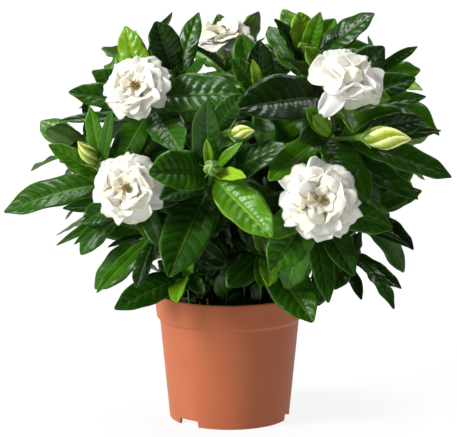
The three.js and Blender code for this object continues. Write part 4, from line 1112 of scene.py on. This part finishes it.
def petal_skin(shoot, petal):
    """A broad waxy petal with a rounded or pointed, softly waved end."""
    keys, row = petal["keys"], petal["row"]
    t = np.linspace(0, 1, PETAL_ROWS) ** 0.9
    s = np.linspace(-1, 1, PETAL_LANES + 1)
    t, s = np.meshgrid(t, s, indexing="ij")
    across = np.abs(s)
    ragged = RAGGED.get(shoot["name"], 0.3) * (row < 2)
    squared = 0.3 + (draw(*keys, 50) - 0.3) * ragged
    notch = (0.03 + 0.05 * ragged) * draw(*keys, 51) * np.exp(-((s / 0.2) ** 2))
    notch += 0.02 * ragged * np.sin(8 * s + 6 * draw(*keys, 59))
    reach = 1 + PETAL_OVER - (0.28 - 0.4 * squared) * across ** (1.2 + 6 * squared) - notch
    longer, wider = REACH.get((row, petal["number"]), (1, 1)) if shoot["name"] == HALF_CLOSED else (1, 1)
    at = t * reach * longer
    middle, _, side, inner = (rows.reshape(*t.shape, 3) for rows in petal_frames(shoot, petal, at.ravel()))
    swell = math.pi * (PETAL_OUTLINE[0] + PETAL_OUTLINE[1] * at)
    half = petal["half"] * np.sin(swell) * (1 - 0.08 * smooth(0.8, 1, at))
    half *= wider * (PETAL_WIDTHS[0] + PETAL_WIDTHS[1] * draw(*keys, 57))
    outer = smooth(0.3, 1, t)
    height = petal["cup"] * half * across + PLAIN_HALF
    slow = 0.8 + 0.8 * draw(*keys, 52)
    wavy = petal["half"] * (1 if row < 2 else 0.5)
    height += SLOW_WAVE * wavy * outer * np.sin(2 * math.pi * (slow * s / 2 + draw(*keys, 53)))
    height += QUICK_WAVE * wavy * outer * across * np.sin(2 * math.pi * (2.3 * s + draw(*keys, 58)))
    height += LONG_WAVE * wavy * across**2 * np.sin(2 * math.pi * (1.2 * t + draw(*keys, 54) + (s > 0) * 0.5))
    rolled = ROLLED_BACK[0] + ROLLED_BACK[1] * draw(*keys, 55)
    height -= rolled * petal["half"] * across**4 * outer * (row < 2)
    surface = middle + side * (s * half)[..., None] + inner * height[..., None]
    thick = np.interp(t, [0, 0.3, 1], [0.8, PETAL_THICKNESS[0], PETAL_THICKNESS[1]]) * (1 - 0.35 * across**2)
    rise = inner * (thick / 2)[..., None]
    skin = sheet_skin(surface + rise, surface - rise, s, t, finishes=(0, 0))
    return skin | {"tone": 0 if shoot["name"] == HALF_CLOSED else row / 3, "hue": draw(*keys, 56)}


def heart_petals(shoot):
    """The small petals round the stigma, which the plain solids leave out."""
    layer = CLOSED_HEART_LAYER if shoot["name"] == HALF_CLOSED else HEART_LAYER
    made = []
    for n in range(layer["petals"]):
        keys = (shoot["index"], 300 + n, 0)
        turn = 2 * math.pi * (n + spread(0.5, *keys, 1)) / layer["petals"]
        size = shoot["bloom"] * (0.85 + 0.3 * draw(*keys, 2))
        roll = spread(0.16, *keys, 3)
        made.append(petal_plan(shoot, layer, turn, size, roll, keys, 3, n, root=HEART_ROOT_RADIUS))
    return made


def bowl_skin(shoot):
    """The ruffled bowl in the middle, out of its underside, over its rim and down to the stigma."""
    radii, heights = (np.interp(np.linspace(0, 6, 25), range(7), row) for row in BOWL_PROFILE)
    ruffle = 6 * draw(shoot["index"], 71)
    lobed = lambda angles, k: 1 + 0.009 * radii[k] * np.cos(BOWL_LOBES * angles + ruffle)
    rings = rings_on_axis(shoot["tip"], shoot["aim"], heights, radii, 60, lobed)
    angles = 2 * math.pi * np.arange(60) / 60
    waves = np.sin(4 * angles + 2 * ruffle) + 0.6 * np.sin(7 * angles - ruffle)
    rings += (0.0085 * radii[:, None] ** 2 * waves)[..., None] * shoot["aim"]
    return sleeve_skin(rings, np.linspace(0.1, 0.3, 25)) | {"tone": 1}


def tube_skin(shoot):
    """The tube that the petals stand on."""
    ahead = np.linspace(-TUBE_LENGTH, 0, 12)
    radii = np.interp(ahead, *TUBE_PROFILE)
    ribbed = lambda angles, k: 1 + 0.04 * np.cos(6 * angles)
    rings = rings_on_axis(shoot["tip"], shoot["aim"], ahead, radii, 24, ribbed)
    return sleeve_skin(rings, np.linspace(0, 0.1, 12)) | {"tone": 0.4}


def petal_flesh():
    """Thick waxy petal: light enters it and comes back soft, so its shadows stay warm and pale."""
    material, tree, shader = new_material(
        "Gardenia petal, waxy and translucent", Roughness=0.5, IOR=1.42, Subsurface_Weight=0.7,
        Subsurface_Radius=(1, 0.98, 0.92), Subsurface_Scale=0.003,
    )
    place = add(tree, "ShaderNodeSeparateXYZ", add(tree, "ShaderNodeUVMap", uv_map="surface"))
    spot = add(tree, "ShaderNodeTexCoord").outputs["Object"]
    tone = add(tree, "ShaderNodeAttribute", attribute_name="tone")
    hue = add(tree, "ShaderNodeAttribute", attribute_name="hue")
    white = add(tree, "ShaderNodeValToRGB", add(tree, "ShaderNodeMath", hue, 0.3, tone, operation="MULTIPLY_ADD"),
                stops=[(0, "f8f6ee"), (0.7, "f7f3e6"), (1, "f6eed8")])
    throat = add(tree, "ShaderNodeMapRange", place.outputs["Y"], 0.06, 0.4, 0.6, 0)
    colour = add(tree, "ShaderNodeMix", throat, white, hex_colour("efe5b8"), data_type="RGBA")
    tip = add(tree, "ShaderNodeMapRange", place.outputs["Y"], 0.84, 1, 0, 0.8)
    tip = add(tree, "ShaderNodeMath", tip, hue, operation="MULTIPLY")
    colour = add(tree, "ShaderNodeMix", tip, colour.outputs[2], hex_colour("c9cb8c"), data_type="RGBA")
    fan = add(tree, "ShaderNodeCombineXYZ", add(tree, "ShaderNodeMath", place, 46, operation="MULTIPLY"),
              add(tree, "ShaderNodeMath", place.outputs["Y"], 2.2, operation="MULTIPLY"), hue)
    ribs = add(tree, "ShaderNodeTexNoise", Vector=fan, Scale=1, Detail=2)
    grain = add(tree, "ShaderNodeTexNoise", Vector=spot, Scale=1 / FINE_GRAIN, Detail=2)
    relief = add(tree, "ShaderNodeMath", grain, 0.3, ribs, operation="MULTIPLY_ADD")
    bump = add(tree, "ShaderNodeBump", Strength=0.2, Distance=0.0005, Height=relief)
    connect(tree, shader, Base_Color=colour.outputs[2], Normal=bump.outputs[0])
    return material


petal_material, petal_count = petal_flesh(), 0
for shoot in blooming:
    for petal in shoot["petals"]:
        if petal["row"] == 2 and shoot["name"] != HALF_CLOSED:
            end = SHUT_INNER_END if shoot["name"] == "top_flower" else OPEN_INNER_END
            petal["end"] = tuple(share * shoot["bloom"] for share in end)
    petals = shoot["petals"] + heart_petals(shoot)
    petal_count += len(petals)
    skins = [tube_skin(shoot)] + [petal_skin(shoot, petal) for petal in petals]
    skins.append(wound_skin(shoot, *CLOSED_CORE) if shoot["name"] == HALF_CLOSED else bowl_skin(shoot))
    make_piece(f"flower_{shoot['name']}", skins, [petal_material], [f"bloom_{shoot['name']}"])
print(len(blooming), "flowers with", petal_count, "petals in all")

# %% [markdown]
# The middle of a flower. The stigma is a fleshy, ridged club, and the anthers lie round it as brown strips, which
# curl as they dry. The strips repeat round an axis, so a geometry tree makes them: a ring of points, one strip on
# each, with a seeded turn.

# %% A mesh from a geometry tree
def grown_mesh(name, start, tree, values):
    """The plain mesh that a geometry tree makes from a starting mesh."""
    carrier = new_object(name, start)
    modifier = carrier.modifiers.new(name, "NODES")
    modifier.node_group = tree
    for item in tree.interface.items_tree:
        if item.in_out == "INPUT" and item.name in values:
            modifier[item.identifier] = values[item.name]
    mesh = bpy.data.meshes.new_from_object(carrier.evaluated_get(bpy.context.evaluated_depsgraph_get()))
    bpy.data.objects.remove(carrier)
    return mesh


def mesh_of(shape, name):
    """Plain mesh data from a bmesh, which is freed."""
    data = bpy.data.meshes.new(name)
    shape.to_mesh(data)
    shape.free()
    return data


def join_mesh(piece, extra, slot):
    """Adds a mesh's faces to a piece, all in one of the piece's material slots."""
    mesh = bmesh.new()
    mesh.from_mesh(piece.data)
    before = len(mesh.faces)
    mesh.from_mesh(extra)
    mesh.faces.ensure_lookup_table()
    for face in mesh.faces[before:]:
        face.material_index, face.smooth = slot, True
    mesh.to_mesh(piece.data)
    mesh.free()


def geometry_tree(name, inputs):
    """An empty geometry tree with named inputs, as pairs of a kind and a starting value."""
    tree = bpy.data.node_groups.new(name, "GeometryNodeTree")
    tree.interface.new_socket("Geometry", in_out="INPUT", socket_type="NodeSocketGeometry")
    tree.interface.new_socket("Geometry", in_out="OUTPUT", socket_type="NodeSocketGeometry")
    for label, (kind, value) in inputs.items():
        tree.interface.new_socket(label, in_out="INPUT", socket_type=f"NodeSocket{kind}").default_value = value
    return tree, add(tree, "NodeGroupInput"), add(tree, "NodeGroupOutput")


def finish_tree(tree, start, end, instances):
    """Ends a tree: its instances become plain faces of the Finish material."""
    plain = add(tree, "GeometryNodeRealizeInstances", instances)
    finished = add(tree, "GeometryNodeSetMaterial", plain, Material=start.outputs["Finish"])
    tree.links.new(finished.outputs[0], end.inputs[0])
    return tree


# %% Hearts
ANTHERS = 7
ANTHER_LENGTH = 4
ANTHER_WIDTH = 1.3
ANTHER_LEAN = 0.9
ANTHER_FOOT = 6
ANTHER_CIRCLE = 2.6
STIGMA_GRAINS = 1500
ANTHER_GRAINS = 900
STIGMA_PROFILE = ([-1, 2, 5, 8, 10, 11.4, 12.2], [1.5, 1.7, 2.1, 2.7, 2.5, 1.5, 0.15])


def anther_ring():
    """A tree that stands thin strips round an axis, leaning outwards."""
    tree, start, end = geometry_tree("ring of anthers", {
        "Count": ("Int", ANTHERS), "Radius": ("Float", 0.002), "Length": ("Float", 0.006),
        "Width": ("Float", 0.001), "Lean": ("Float", 1.0), "Finish": ("Material", None), "Seed": ("Int", 1),
    })
    ring = add(tree, "GeometryNodeMeshCircle", start.outputs["Count"], start.outputs["Radius"])
    size = add(tree, "ShaderNodeCombineXYZ", start.outputs["Width"], start.outputs["Width"], start.outputs["Length"])
    strip = add(tree, "GeometryNodeMeshUVSphere", Segments=8, Rings=10, Radius=0.5)
    strip = add(tree, "GeometryNodeTransform", strip, Scale=(1, 0.55, 1), Translation=(0, 0, 0.5))
    outwards = add(tree, "FunctionNodeAlignRotationToVector", Vector=add(tree, "GeometryNodeInputPosition"), axis="X")
    lean = add(tree, "ShaderNodeCombineXYZ", 0.0, start.outputs["Lean"], 0.0)
    stray = add(tree, "FunctionNodeRandomValue", data_type="FLOAT_VECTOR", Min=(-0.4, -0.35, -0.6),
                Max=(0.4, 0.35, 0.6), Seed=start.outputs["Seed"])
    tilt = add(tree, "ShaderNodeVectorMath", lean, stray.outputs[0])
    turn = add(tree, "FunctionNodeRotateRotation", outwards, tilt, rotation_space="LOCAL")
    strips = add(tree, "GeometryNodeInstanceOnPoints", ring, Instance=strip, Rotation=turn, Scale=size)
    return finish_tree(tree, start, end, strips)


def bloom_matrix(shoot):
    """Turns a mesh made round +Z at the origin to a flower's axis, in metres."""
    aim = shoot["aim"]
    across = square_to(aim, UP)
    axes = np.column_stack([across, np.cross(aim, across), aim])
    return Matrix.Translation(Vector(shoot["tip"] * MM)) @ Matrix(axes.tolist()).to_4x4()


# The sticky, fleshy stigma: dull yellow-brown, moist and soft.
stigma_material = grained(
    "Gardenia stigma, moist and fleshy", {"Scale": STIGMA_GRAINS, "Detail": 3},
    [(0.35, "5a4514"), (0.55, "846825"), (0.75, "b59c4c")], (0.5, 0.0004),
    Roughness=0.4, Subsurface_Weight=0.2, Subsurface_Radius=(1, 0.6, 0.3), Subsurface_Scale=0.001,
)
# Anthers that have shed their pollen: dry, brown and matte.
anther_material = grained(
    "Gardenia anther, dried", {"Scale": ANTHER_GRAINS, "Detail": 2},
    [(0.35, "5f4a1e"), (0.6, "8a6c30"), (0.8, "b39654")], Roughness=0.8,
)
ring_tree = anther_ring()
for shoot in blooming:
    heights = np.linspace(STIGMA_PROFILE[0][0], STIGMA_PROFILE[0][-1], 26)
    radii = np.interp(heights, *STIGMA_PROFILE)
    fluted = lambda angles, k: 1 + 0.13 * np.cos(6 * angles + 0.08 * k)
    rings = rings_on_axis(shoot["tip"], shoot["aim"], heights, radii, 36, fluted)
    club = sleeve_skin(rings, heights / heights[-1])
    piece = make_piece(f"heart_of_{shoot['name']}", [club], [stigma_material, anther_material],
                       [f"heart_{shoot['name']}"])
    ring = grown_mesh("anthers", bpy.data.meshes.new("start"), ring_tree, {
        "Count": ANTHERS, "Radius": ANTHER_CIRCLE * MM, "Length": ANTHER_LENGTH * MM, "Width": ANTHER_WIDTH * MM,
        "Lean": ANTHER_LEAN, "Finish": anther_material, "Seed": shoot["index"],
    })
    ring.transform(bloom_matrix(shoot) @ Matrix.Translation((0, 0, ANTHER_FOOT * MM)))
    join_mesh(piece, ring, 1)
print("A heart has", len(piece.data.polygons), "faces")

# %% [markdown]
# Buds. They are green while they are young, and turn cream from the tip down as they ripen, so each one's tone is
# how ripe it is.

# %% Buds
BUD_CLOUDS = 220
RIPENESS = {"middle": 0.15, "left_bud": 0.6, "centre_bud": 0.75, "big_bud": 0.7}


def bud_flesh():
    """Closed petals: waxy, cream at the edges and green where the light has not reached them."""
    material, tree, shader = new_material("Gardenia bud, waxy closed petals", Roughness=0.42, IOR=1.43,
                                          Subsurface_Weight=0.25, Subsurface_Radius=(0.8, 1, 0.4),
                                          Subsurface_Scale=0.0015)
    place = add(tree, "ShaderNodeSeparateXYZ", add(tree, "ShaderNodeUVMap", uv_map="surface"))
    spot = add(tree, "ShaderNodeTexCoord").outputs["Object"]
    cloudy = add(tree, "ShaderNodeTexNoise", Vector=spot, Scale=BUD_CLOUDS, Detail=3)
    stripe = add(tree, "ShaderNodeMath", cloudy, 0.5, place, operation="MULTIPLY_ADD")
    ripe = add(tree, "ShaderNodeValToRGB", stripe, stops=[
        (0.3, "f1efbe"), (0.55, "dfe28a"), (0.75, "b9c640"), (1, "8ba424"),
    ])
    unripe = add(tree, "ShaderNodeValToRGB", stripe, stops=[(0.3, "7fa05a"), (0.7, "5f8a42"), (1, "3f6a2c")])
    tone = add(tree, "ShaderNodeAttribute", attribute_name="tone")
    ripeness = add(tree, "ShaderNodeMath", place.outputs["Y"], 0.5, tone, operation="MULTIPLY_ADD")
    ripeness = add(tree, "ShaderNodeMapRange", ripeness, 0.45, 0.95, 0, 1)
    colour = add(tree, "ShaderNodeMix", ripeness, unripe, ripe, data_type="RGBA")
    bump = add(tree, "ShaderNodeBump", Strength=0.3, Distance=0.0004, Height=cloudy)
    connect(tree, shader, Base_Color=colour.outputs[2], Normal=bump.outputs[0])
    return material


bud_material = bud_flesh()
budding = [shoot for shoot in SHOOTS if "bud" in shoot]
for shoot in budding:
    skin = wound_skin(shoot, *shoot["bud"]) | {"tone": RIPENESS.get(shoot["name"], 0.6)}
    make_piece(f"flower_bud_{shoot['name']}", [skin], [bud_material], [f"bud_{shoot['name']}"])
print(len(budding), "buds")

# %% [markdown]
# The pot is thin injection-moulded polypropylene, in one piece: a tapered wall, a deep plain rim band with a soft
# step under it, and a foot ring with notches that let water out. Its outline is spun round the axis, with small
# rounds where a mould leaves them, and the notches and the drain holes are cut with a Boolean.

# %% Pot
POT_HEIGHT = 110
RIM_BAND = 24
RIM_STEP = 2.6
BODY_TOP_RADIUS = 60
BASE_RADIUS = 51.7
FOOT_WIDTH = 2.2
WALL = 1.7
FLOOR_UNDERSIDE = 6
FLOOR_TOP = 8
POT_SIDES = 160
PLASTIC_GRAIN = 0.0008
FLOW_SCALE = 22
SHARP_DEGREES = 35
NOTCHES = 3
NOTCH_TURN = -132.5
NOTCH_WIDTH = 21
NOTCH_HEIGHT = 5.5
NOTCH_DEPTH = 16
NOTCH_ROUNDING = 0.8
DRAIN_HOLES = 6
DRAIN_RADIUS = 4
DRAIN_CIRCLE = 30
BAND_FOOT = POT_HEIGHT - RIM_BAND
BAND_RADIUS = BODY_TOP_RADIUS + RIM_STEP


def rounded(outline, steps=5):
    """An outline of (radius, height, rounding) corners, with each corner rounded by a curve."""
    made = []
    for i, (r, z, rounding) in enumerate(outline):
        corner = np.array([r, z], dtype=float)
        if rounding == 0:
            made.append(corner)
            continue
        before, after = (np.array(outline[j][:2]) - corner for j in (i - 1, i + 1))
        start, end = corner + unit(before) * rounding, corner + unit(after) * rounding
        made += [bent(start, corner, end, t)[0] for t in np.linspace(0, 1, steps)]
    return made


def spun(name, outline, sides):
    """A closed mesh from an outline that starts and ends on the axis, spun round it."""
    mesh = bmesh.new()
    rings = []
    for r, z in outline:
        angles = [2 * math.pi * k / sides for k in range(sides if r > 0 else 1)]
        rings.append([mesh.verts.new((r * math.cos(a) * MM, r * math.sin(a) * MM, z * MM)) for a in angles])
    for ring, above in zip(rings, rings[1:]):
        for k in range(sides):
            corners = [ring[k % len(ring)], ring[(k + 1) % len(ring)],
                       above[(k + 1) % len(above)], above[k % len(above)]]
            mesh.faces.new(list(dict.fromkeys(corners)))
    return mesh_of(mesh, name)


def cutters():
    """Blocks for the foot's notches and cylinders for the drain holes, as one mesh."""
    mesh = bmesh.new()
    for i in range(NOTCHES):
        turn = Matrix.Rotation(math.radians(NOTCH_TURN + 360 / NOTCHES * i), 4, "Z")
        size = Matrix.Diagonal((NOTCH_DEPTH * MM, NOTCH_WIDTH * MM, 2 * NOTCH_HEIGHT * MM, 1))
        made = bmesh.ops.create_cube(mesh, size=1, matrix=turn @ Matrix.Translation((BASE_RADIUS * MM, 0, 0)) @ size)
        sides = [edge for edge in mesh.edges if set(edge.verts) <= set(made["verts"])
                 and all(v.co.z > 0 for v in edge.verts)]
        bmesh.ops.bevel(mesh, geom=sides, offset=NOTCH_ROUNDING * MM, segments=3, affect="EDGES")
    for i in range(DRAIN_HOLES + 1):
        turn = Matrix.Rotation(2 * math.pi * i / DRAIN_HOLES, 4, "Z")
        place = (DRAIN_CIRCLE * MM if i < DRAIN_HOLES else 0, 0, (FLOOR_UNDERSIDE + FLOOR_TOP) / 2 * MM)
        bmesh.ops.create_cone(mesh, cap_ends=True, segments=24, radius1=DRAIN_RADIUS * MM, radius2=DRAIN_RADIUS * MM,
                              depth=6 * MM, matrix=turn @ Matrix.Translation(place))
    return new_object("cutters", mesh_of(mesh, "cutters"))


def moulded_plastic():
    """Injection-moulded polypropylene, terracotta coloured through: satin, with a faint leathery grain."""
    material, tree, shader = new_material(
        "Polypropylene pot, moulded, terracotta colour", IOR=1.49, Specular_IOR_Level=0.25
    )
    spot = add(tree, "ShaderNodeTexCoord").outputs["Object"]
    flow = add(tree, "ShaderNodeTexNoise", Vector=spot, Scale=FLOW_SCALE, Detail=3)
    colour = add(tree, "ShaderNodeValToRGB", flow, stops=[(0.3, "a65936"), (0.5, "aa5d3a"), (0.7, "ae613e")])
    grain = add(tree, "ShaderNodeTexNoise", Vector=spot, Scale=1 / PLASTIC_GRAIN, Detail=2)
    bump = add(tree, "ShaderNodeBump", Strength=0.15, Distance=0.0002, Height=grain)
    satin = add(tree, "ShaderNodeMapRange", flow, 0.3, 0.7, 0.5, 0.6)
    connect(tree, shader, Base_Color=colour.outputs[0], Roughness=satin.outputs[0], Normal=bump.outputs[0])
    return material


outline = rounded([
    (0, FLOOR_UNDERSIDE, 0), (BASE_RADIUS - FOOT_WIDTH - 0.6, FLOOR_UNDERSIDE, 0.6),
    (BASE_RADIUS - FOOT_WIDTH, 0, 0.5), (BASE_RADIUS, 0, 0.7), (BODY_TOP_RADIUS, BAND_FOOT, 0.8),
    (BAND_RADIUS, BAND_FOOT + 2.4, 0.9), (RIM_RADIUS, POT_HEIGHT - 0.9, 0.8), (RIM_RADIUS - 0.9, POT_HEIGHT, 0.3),
    (RIM_RADIUS - WALL, POT_HEIGHT - 0.4, 0.4), (BAND_RADIUS - WALL, BAND_FOOT + 4, 0.9),
    (BODY_TOP_RADIUS - WALL, BAND_FOOT + 1.4, 0.9), (BASE_RADIUS - WALL, FLOOR_TOP, 1), (0, FLOOR_TOP, 0),
])
pot = new_object("nursery_pot", spun("nursery_pot", outline, POT_SIDES))
tool = cutters()
modifier = pot.modifiers.new("cuts", "BOOLEAN")
modifier.operation, modifier.object, modifier.solver = "DIFFERENCE", tool, "EXACT"
cut = bpy.data.meshes.new_from_object(pot.evaluated_get(bpy.context.evaluated_depsgraph_get()))
pot.modifiers.clear()
pot.data = cut
bpy.data.objects.remove(tool)
pot.data.materials.append(moulded_plastic())
pot.data.shade_smooth()
pot.data.set_sharp_from_angle(angle=math.radians(SHARP_DEGREES))
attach(pot, "root")
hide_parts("pot")
print("The pot has", len(pot.data.polygons), "faces")

# %% [markdown]
# Soil. Potting compost is dark peat with bits of bark and a few pale specks. The plug is a spun mound whose top is
# pushed up and down by noise, and a geometry tree scatters the crumbs over it.

# %% Soil
SOIL_CROWN = 3
SOIL_GAP = 0.7
SOIL_LUMP = 0.8
CRUMBS = 1100
CRUMB_SIZE = (1.2, 4.5)
PEAT_LUMP = 0.003
CHIP_PATCH = 0.006
CHIP_FIBRE = 0.0007


def soil_crumbs():
    """A tree that scatters lumps over the upward faces of a mesh, with a seed."""
    tree, start, end = geometry_tree("crumbs on soil", {
        "Density": ("Float", 50000.0), "Least": ("Float", 0.001), "Most": ("Float", 0.004),
        "Finish": ("Material", None), "Seed": ("Int", 1),
    })
    upwards = add(tree, "ShaderNodeSeparateXYZ", add(tree, "GeometryNodeInputNormal"))
    top = add(tree, "FunctionNodeCompare", upwards.outputs["Z"], 0.5, operation="GREATER_THAN")
    spots = add(tree, "GeometryNodeDistributePointsOnFaces", start.outputs["Geometry"], top,
                Density=start.outputs["Density"], Seed=start.outputs["Seed"])
    lump = add(tree, "GeometryNodeMeshIcoSphere", 0.5, 1)
    rough = add(tree, "ShaderNodeTexNoise", Scale=1.8, Detail=1)
    offset = add(tree, "ShaderNodeVectorMath", rough.outputs["Color"], (-0.5, -0.5, -0.5))
    lump = add(tree, "GeometryNodeSetPosition", lump, Offset=offset)
    turn = add(tree, "FunctionNodeRandomValue", data_type="FLOAT_VECTOR", Max=(6.3, 6.3, 6.3),
               Seed=start.outputs["Seed"])
    big = add(tree, "FunctionNodeRandomValue", start.outputs["Least"], start.outputs["Most"],
              Seed=start.outputs["Seed"])
    shape = add(tree, "FunctionNodeRandomValue", data_type="FLOAT_VECTOR", Min=(0.5, 0.4, 0.35), Max=(1.2, 0.8, 0.6),
                Seed=start.outputs["Seed"])
    size = add(tree, "ShaderNodeVectorMath", shape.outputs[0], Scale=big.outputs[1], operation="SCALE")
    crumbs = add(tree, "GeometryNodeInstanceOnPoints", spots, Instance=lump, Rotation=turn.outputs[0], Scale=size)
    return finish_tree(tree, start, end, crumbs)


def bark_chip():
    """Composted bark chips: fibrous, red-brown and dry on top."""
    material, tree, shader = new_material("Bark chip, composted and fibrous", Roughness=0.85)
    spot = add(tree, "ShaderNodeTexCoord").outputs["Object"]
    patches = add(tree, "ShaderNodeTexNoise", Vector=spot, Scale=1 / CHIP_PATCH, Detail=4)
    brown = add(tree, "ShaderNodeValToRGB", patches, stops=[(0.35, "1d130c"), (0.5, "4a3120"), (0.68, "7c5b3e")])
    fibres = add(tree, "ShaderNodeTexNoise", Vector=spot, Scale=1 / CHIP_FIBRE, Detail=3)
    bump = add(tree, "ShaderNodeBump", Strength=0.7, Distance=0.0006, Height=fibres)
    connect(tree, shader, Base_Color=brown.outputs[0], Normal=bump.outputs[0])
    return material


def soil_height(r, x, y):
    """The soil's surface, crowned in the middle and lumpy."""
    lump = SOIL_LUMP * (math.sin(x * 0.31 + 1) * math.cos(y * 0.27) + 0.6 * math.sin(x * 0.12 - y * 0.4))
    fine = 0.5 * math.sin(x * 0.83 + y * 0.4) * math.sin(y * 0.71 - 1.3 * math.cos(x * 0.37))
    return SOIL_EDGE + SOIL_CROWN * (1 - r / soil_edge) + (lump + fine) * smooth(0, 6, soil_edge - r)


ledge = BODY_TOP_RADIUS - WALL - SOIL_GAP
soil_edge = ledge + RIM_STEP * (SOIL_EDGE - BAND_FOOT) / (RIM_BAND / 2)
outline = [(0, FLOOR_TOP + 0.35), (BASE_RADIUS - WALL - SOIL_GAP, FLOOR_TOP + 0.35), (ledge, BAND_FOOT)]
outline += [(r, SOIL_EDGE) for r in np.linspace(soil_edge, 0, 40)]
plug = spun("potting_soil", outline, 96)
for v in plug.vertices:
    x, y, z = v.co / MM
    if z > SOIL_EDGE - 0.01:
        v.co.z = soil_height(math.hypot(x, y), x, y) * MM
soil = new_object("potting_soil", plug)
# Moist peat: nearly black, matte and crumbly.
plug.materials.append(grained(
    "Potting peat, moist and crumbly", {"Scale": 1 / PEAT_LUMP, "Detail": 6, "Roughness": 0.7},
    [(0.35, "17100b"), (0.55, "33241a"), (0.75, "5a4532")], (1, 0.0012), Roughness=0.9,
))
plug.materials.append(bark_chip())
area = math.pi * (soil_edge * MM) ** 2
crumbs = grown_mesh("crumbs", plug.copy(), soil_crumbs(), {
    "Density": CRUMBS / area, "Least": CRUMB_SIZE[0] * MM, "Most": CRUMB_SIZE[1] * MM,
    "Finish": plug.materials[1], "Seed": SEED % 1000,
})
join_mesh(soil, crumbs, 1)
plug.shade_smooth()
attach(soil, "root")
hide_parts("soil")
print("The soil has", len(soil.data.polygons), "faces")

# %% [markdown]
# The studio: a pale light table, and soft lights that are far away, so the floor is equally bright all over. The
# table glows a little, which takes the shadow off it as in a catalogue picture. The key comes from the left and a
# little from the front, as the bright left side and the dark right side of a pot show. The second light is
# overhead and wide, for the highlights on the leaves, and a weak one from behind on the right draws their edges.
# The world stays dim, or it would lay a grey reflection over every leaf.

# %% Floor and lights
# Each light is far away: its name, where it comes from, its power, and how wide it looks in degrees
LIGHTS = [
    ("key light", (-0.8, -0.38, 0.47), 4.6, 22),
    ("overhead light", (-0.1, 0.25, 1), 2.3, 28),
    ("window light", (0.45, 0.5, 0.75), 0.6, 16),
]
WORLD_POWER = 0.06
TABLE_GLOW = 0.88
TABLE_SIZE = 12

floor_mesh = bmesh.new()
bmesh.ops.create_grid(floor_mesh, x_segments=2, y_segments=2, size=TABLE_SIZE)
floor = new_object("floor", mesh_of(floor_mesh, "floor"))
material, tree, shader = new_material(
    "Light table, frosted glass lit from below", Roughness=0.9, Specular_IOR_Level=0,
    Emission_Color=hex_colour("ffffff"), Emission_Strength=TABLE_GLOW,
)
faint = add(tree, "ShaderNodeTexNoise", Vector=add(tree, "ShaderNodeTexCoord").outputs["Object"], Scale=3)
frost = add(tree, "ShaderNodeValToRGB", faint, stops=[(0.3, "5e5e5e"), (0.7, "626262")])
connect(tree, shader, Base_Color=frost.outputs[0])
floor.data.materials.append(material)

world = bpy.data.worlds.new("studio")
world.use_nodes = True
world.node_tree.nodes["Background"].inputs["Strength"].default_value = WORLD_POWER
world.node_tree.nodes["Background"].inputs["Color"].default_value = hex_colour("ffffff")
bpy.context.scene.world = world
for name, way, power, softness in LIGHTS:
    light = bpy.data.lights.new(name, "SUN")
    light.energy, light.angle = power, math.radians(softness)
    new_object(name, light).rotation_euler = Vector(way).to_track_quat("Z", "Y").to_euler()
bpy.context.scene.view_settings.view_transform = "Standard"
print("Floor, world and", len(bpy.data.lights), "lights")
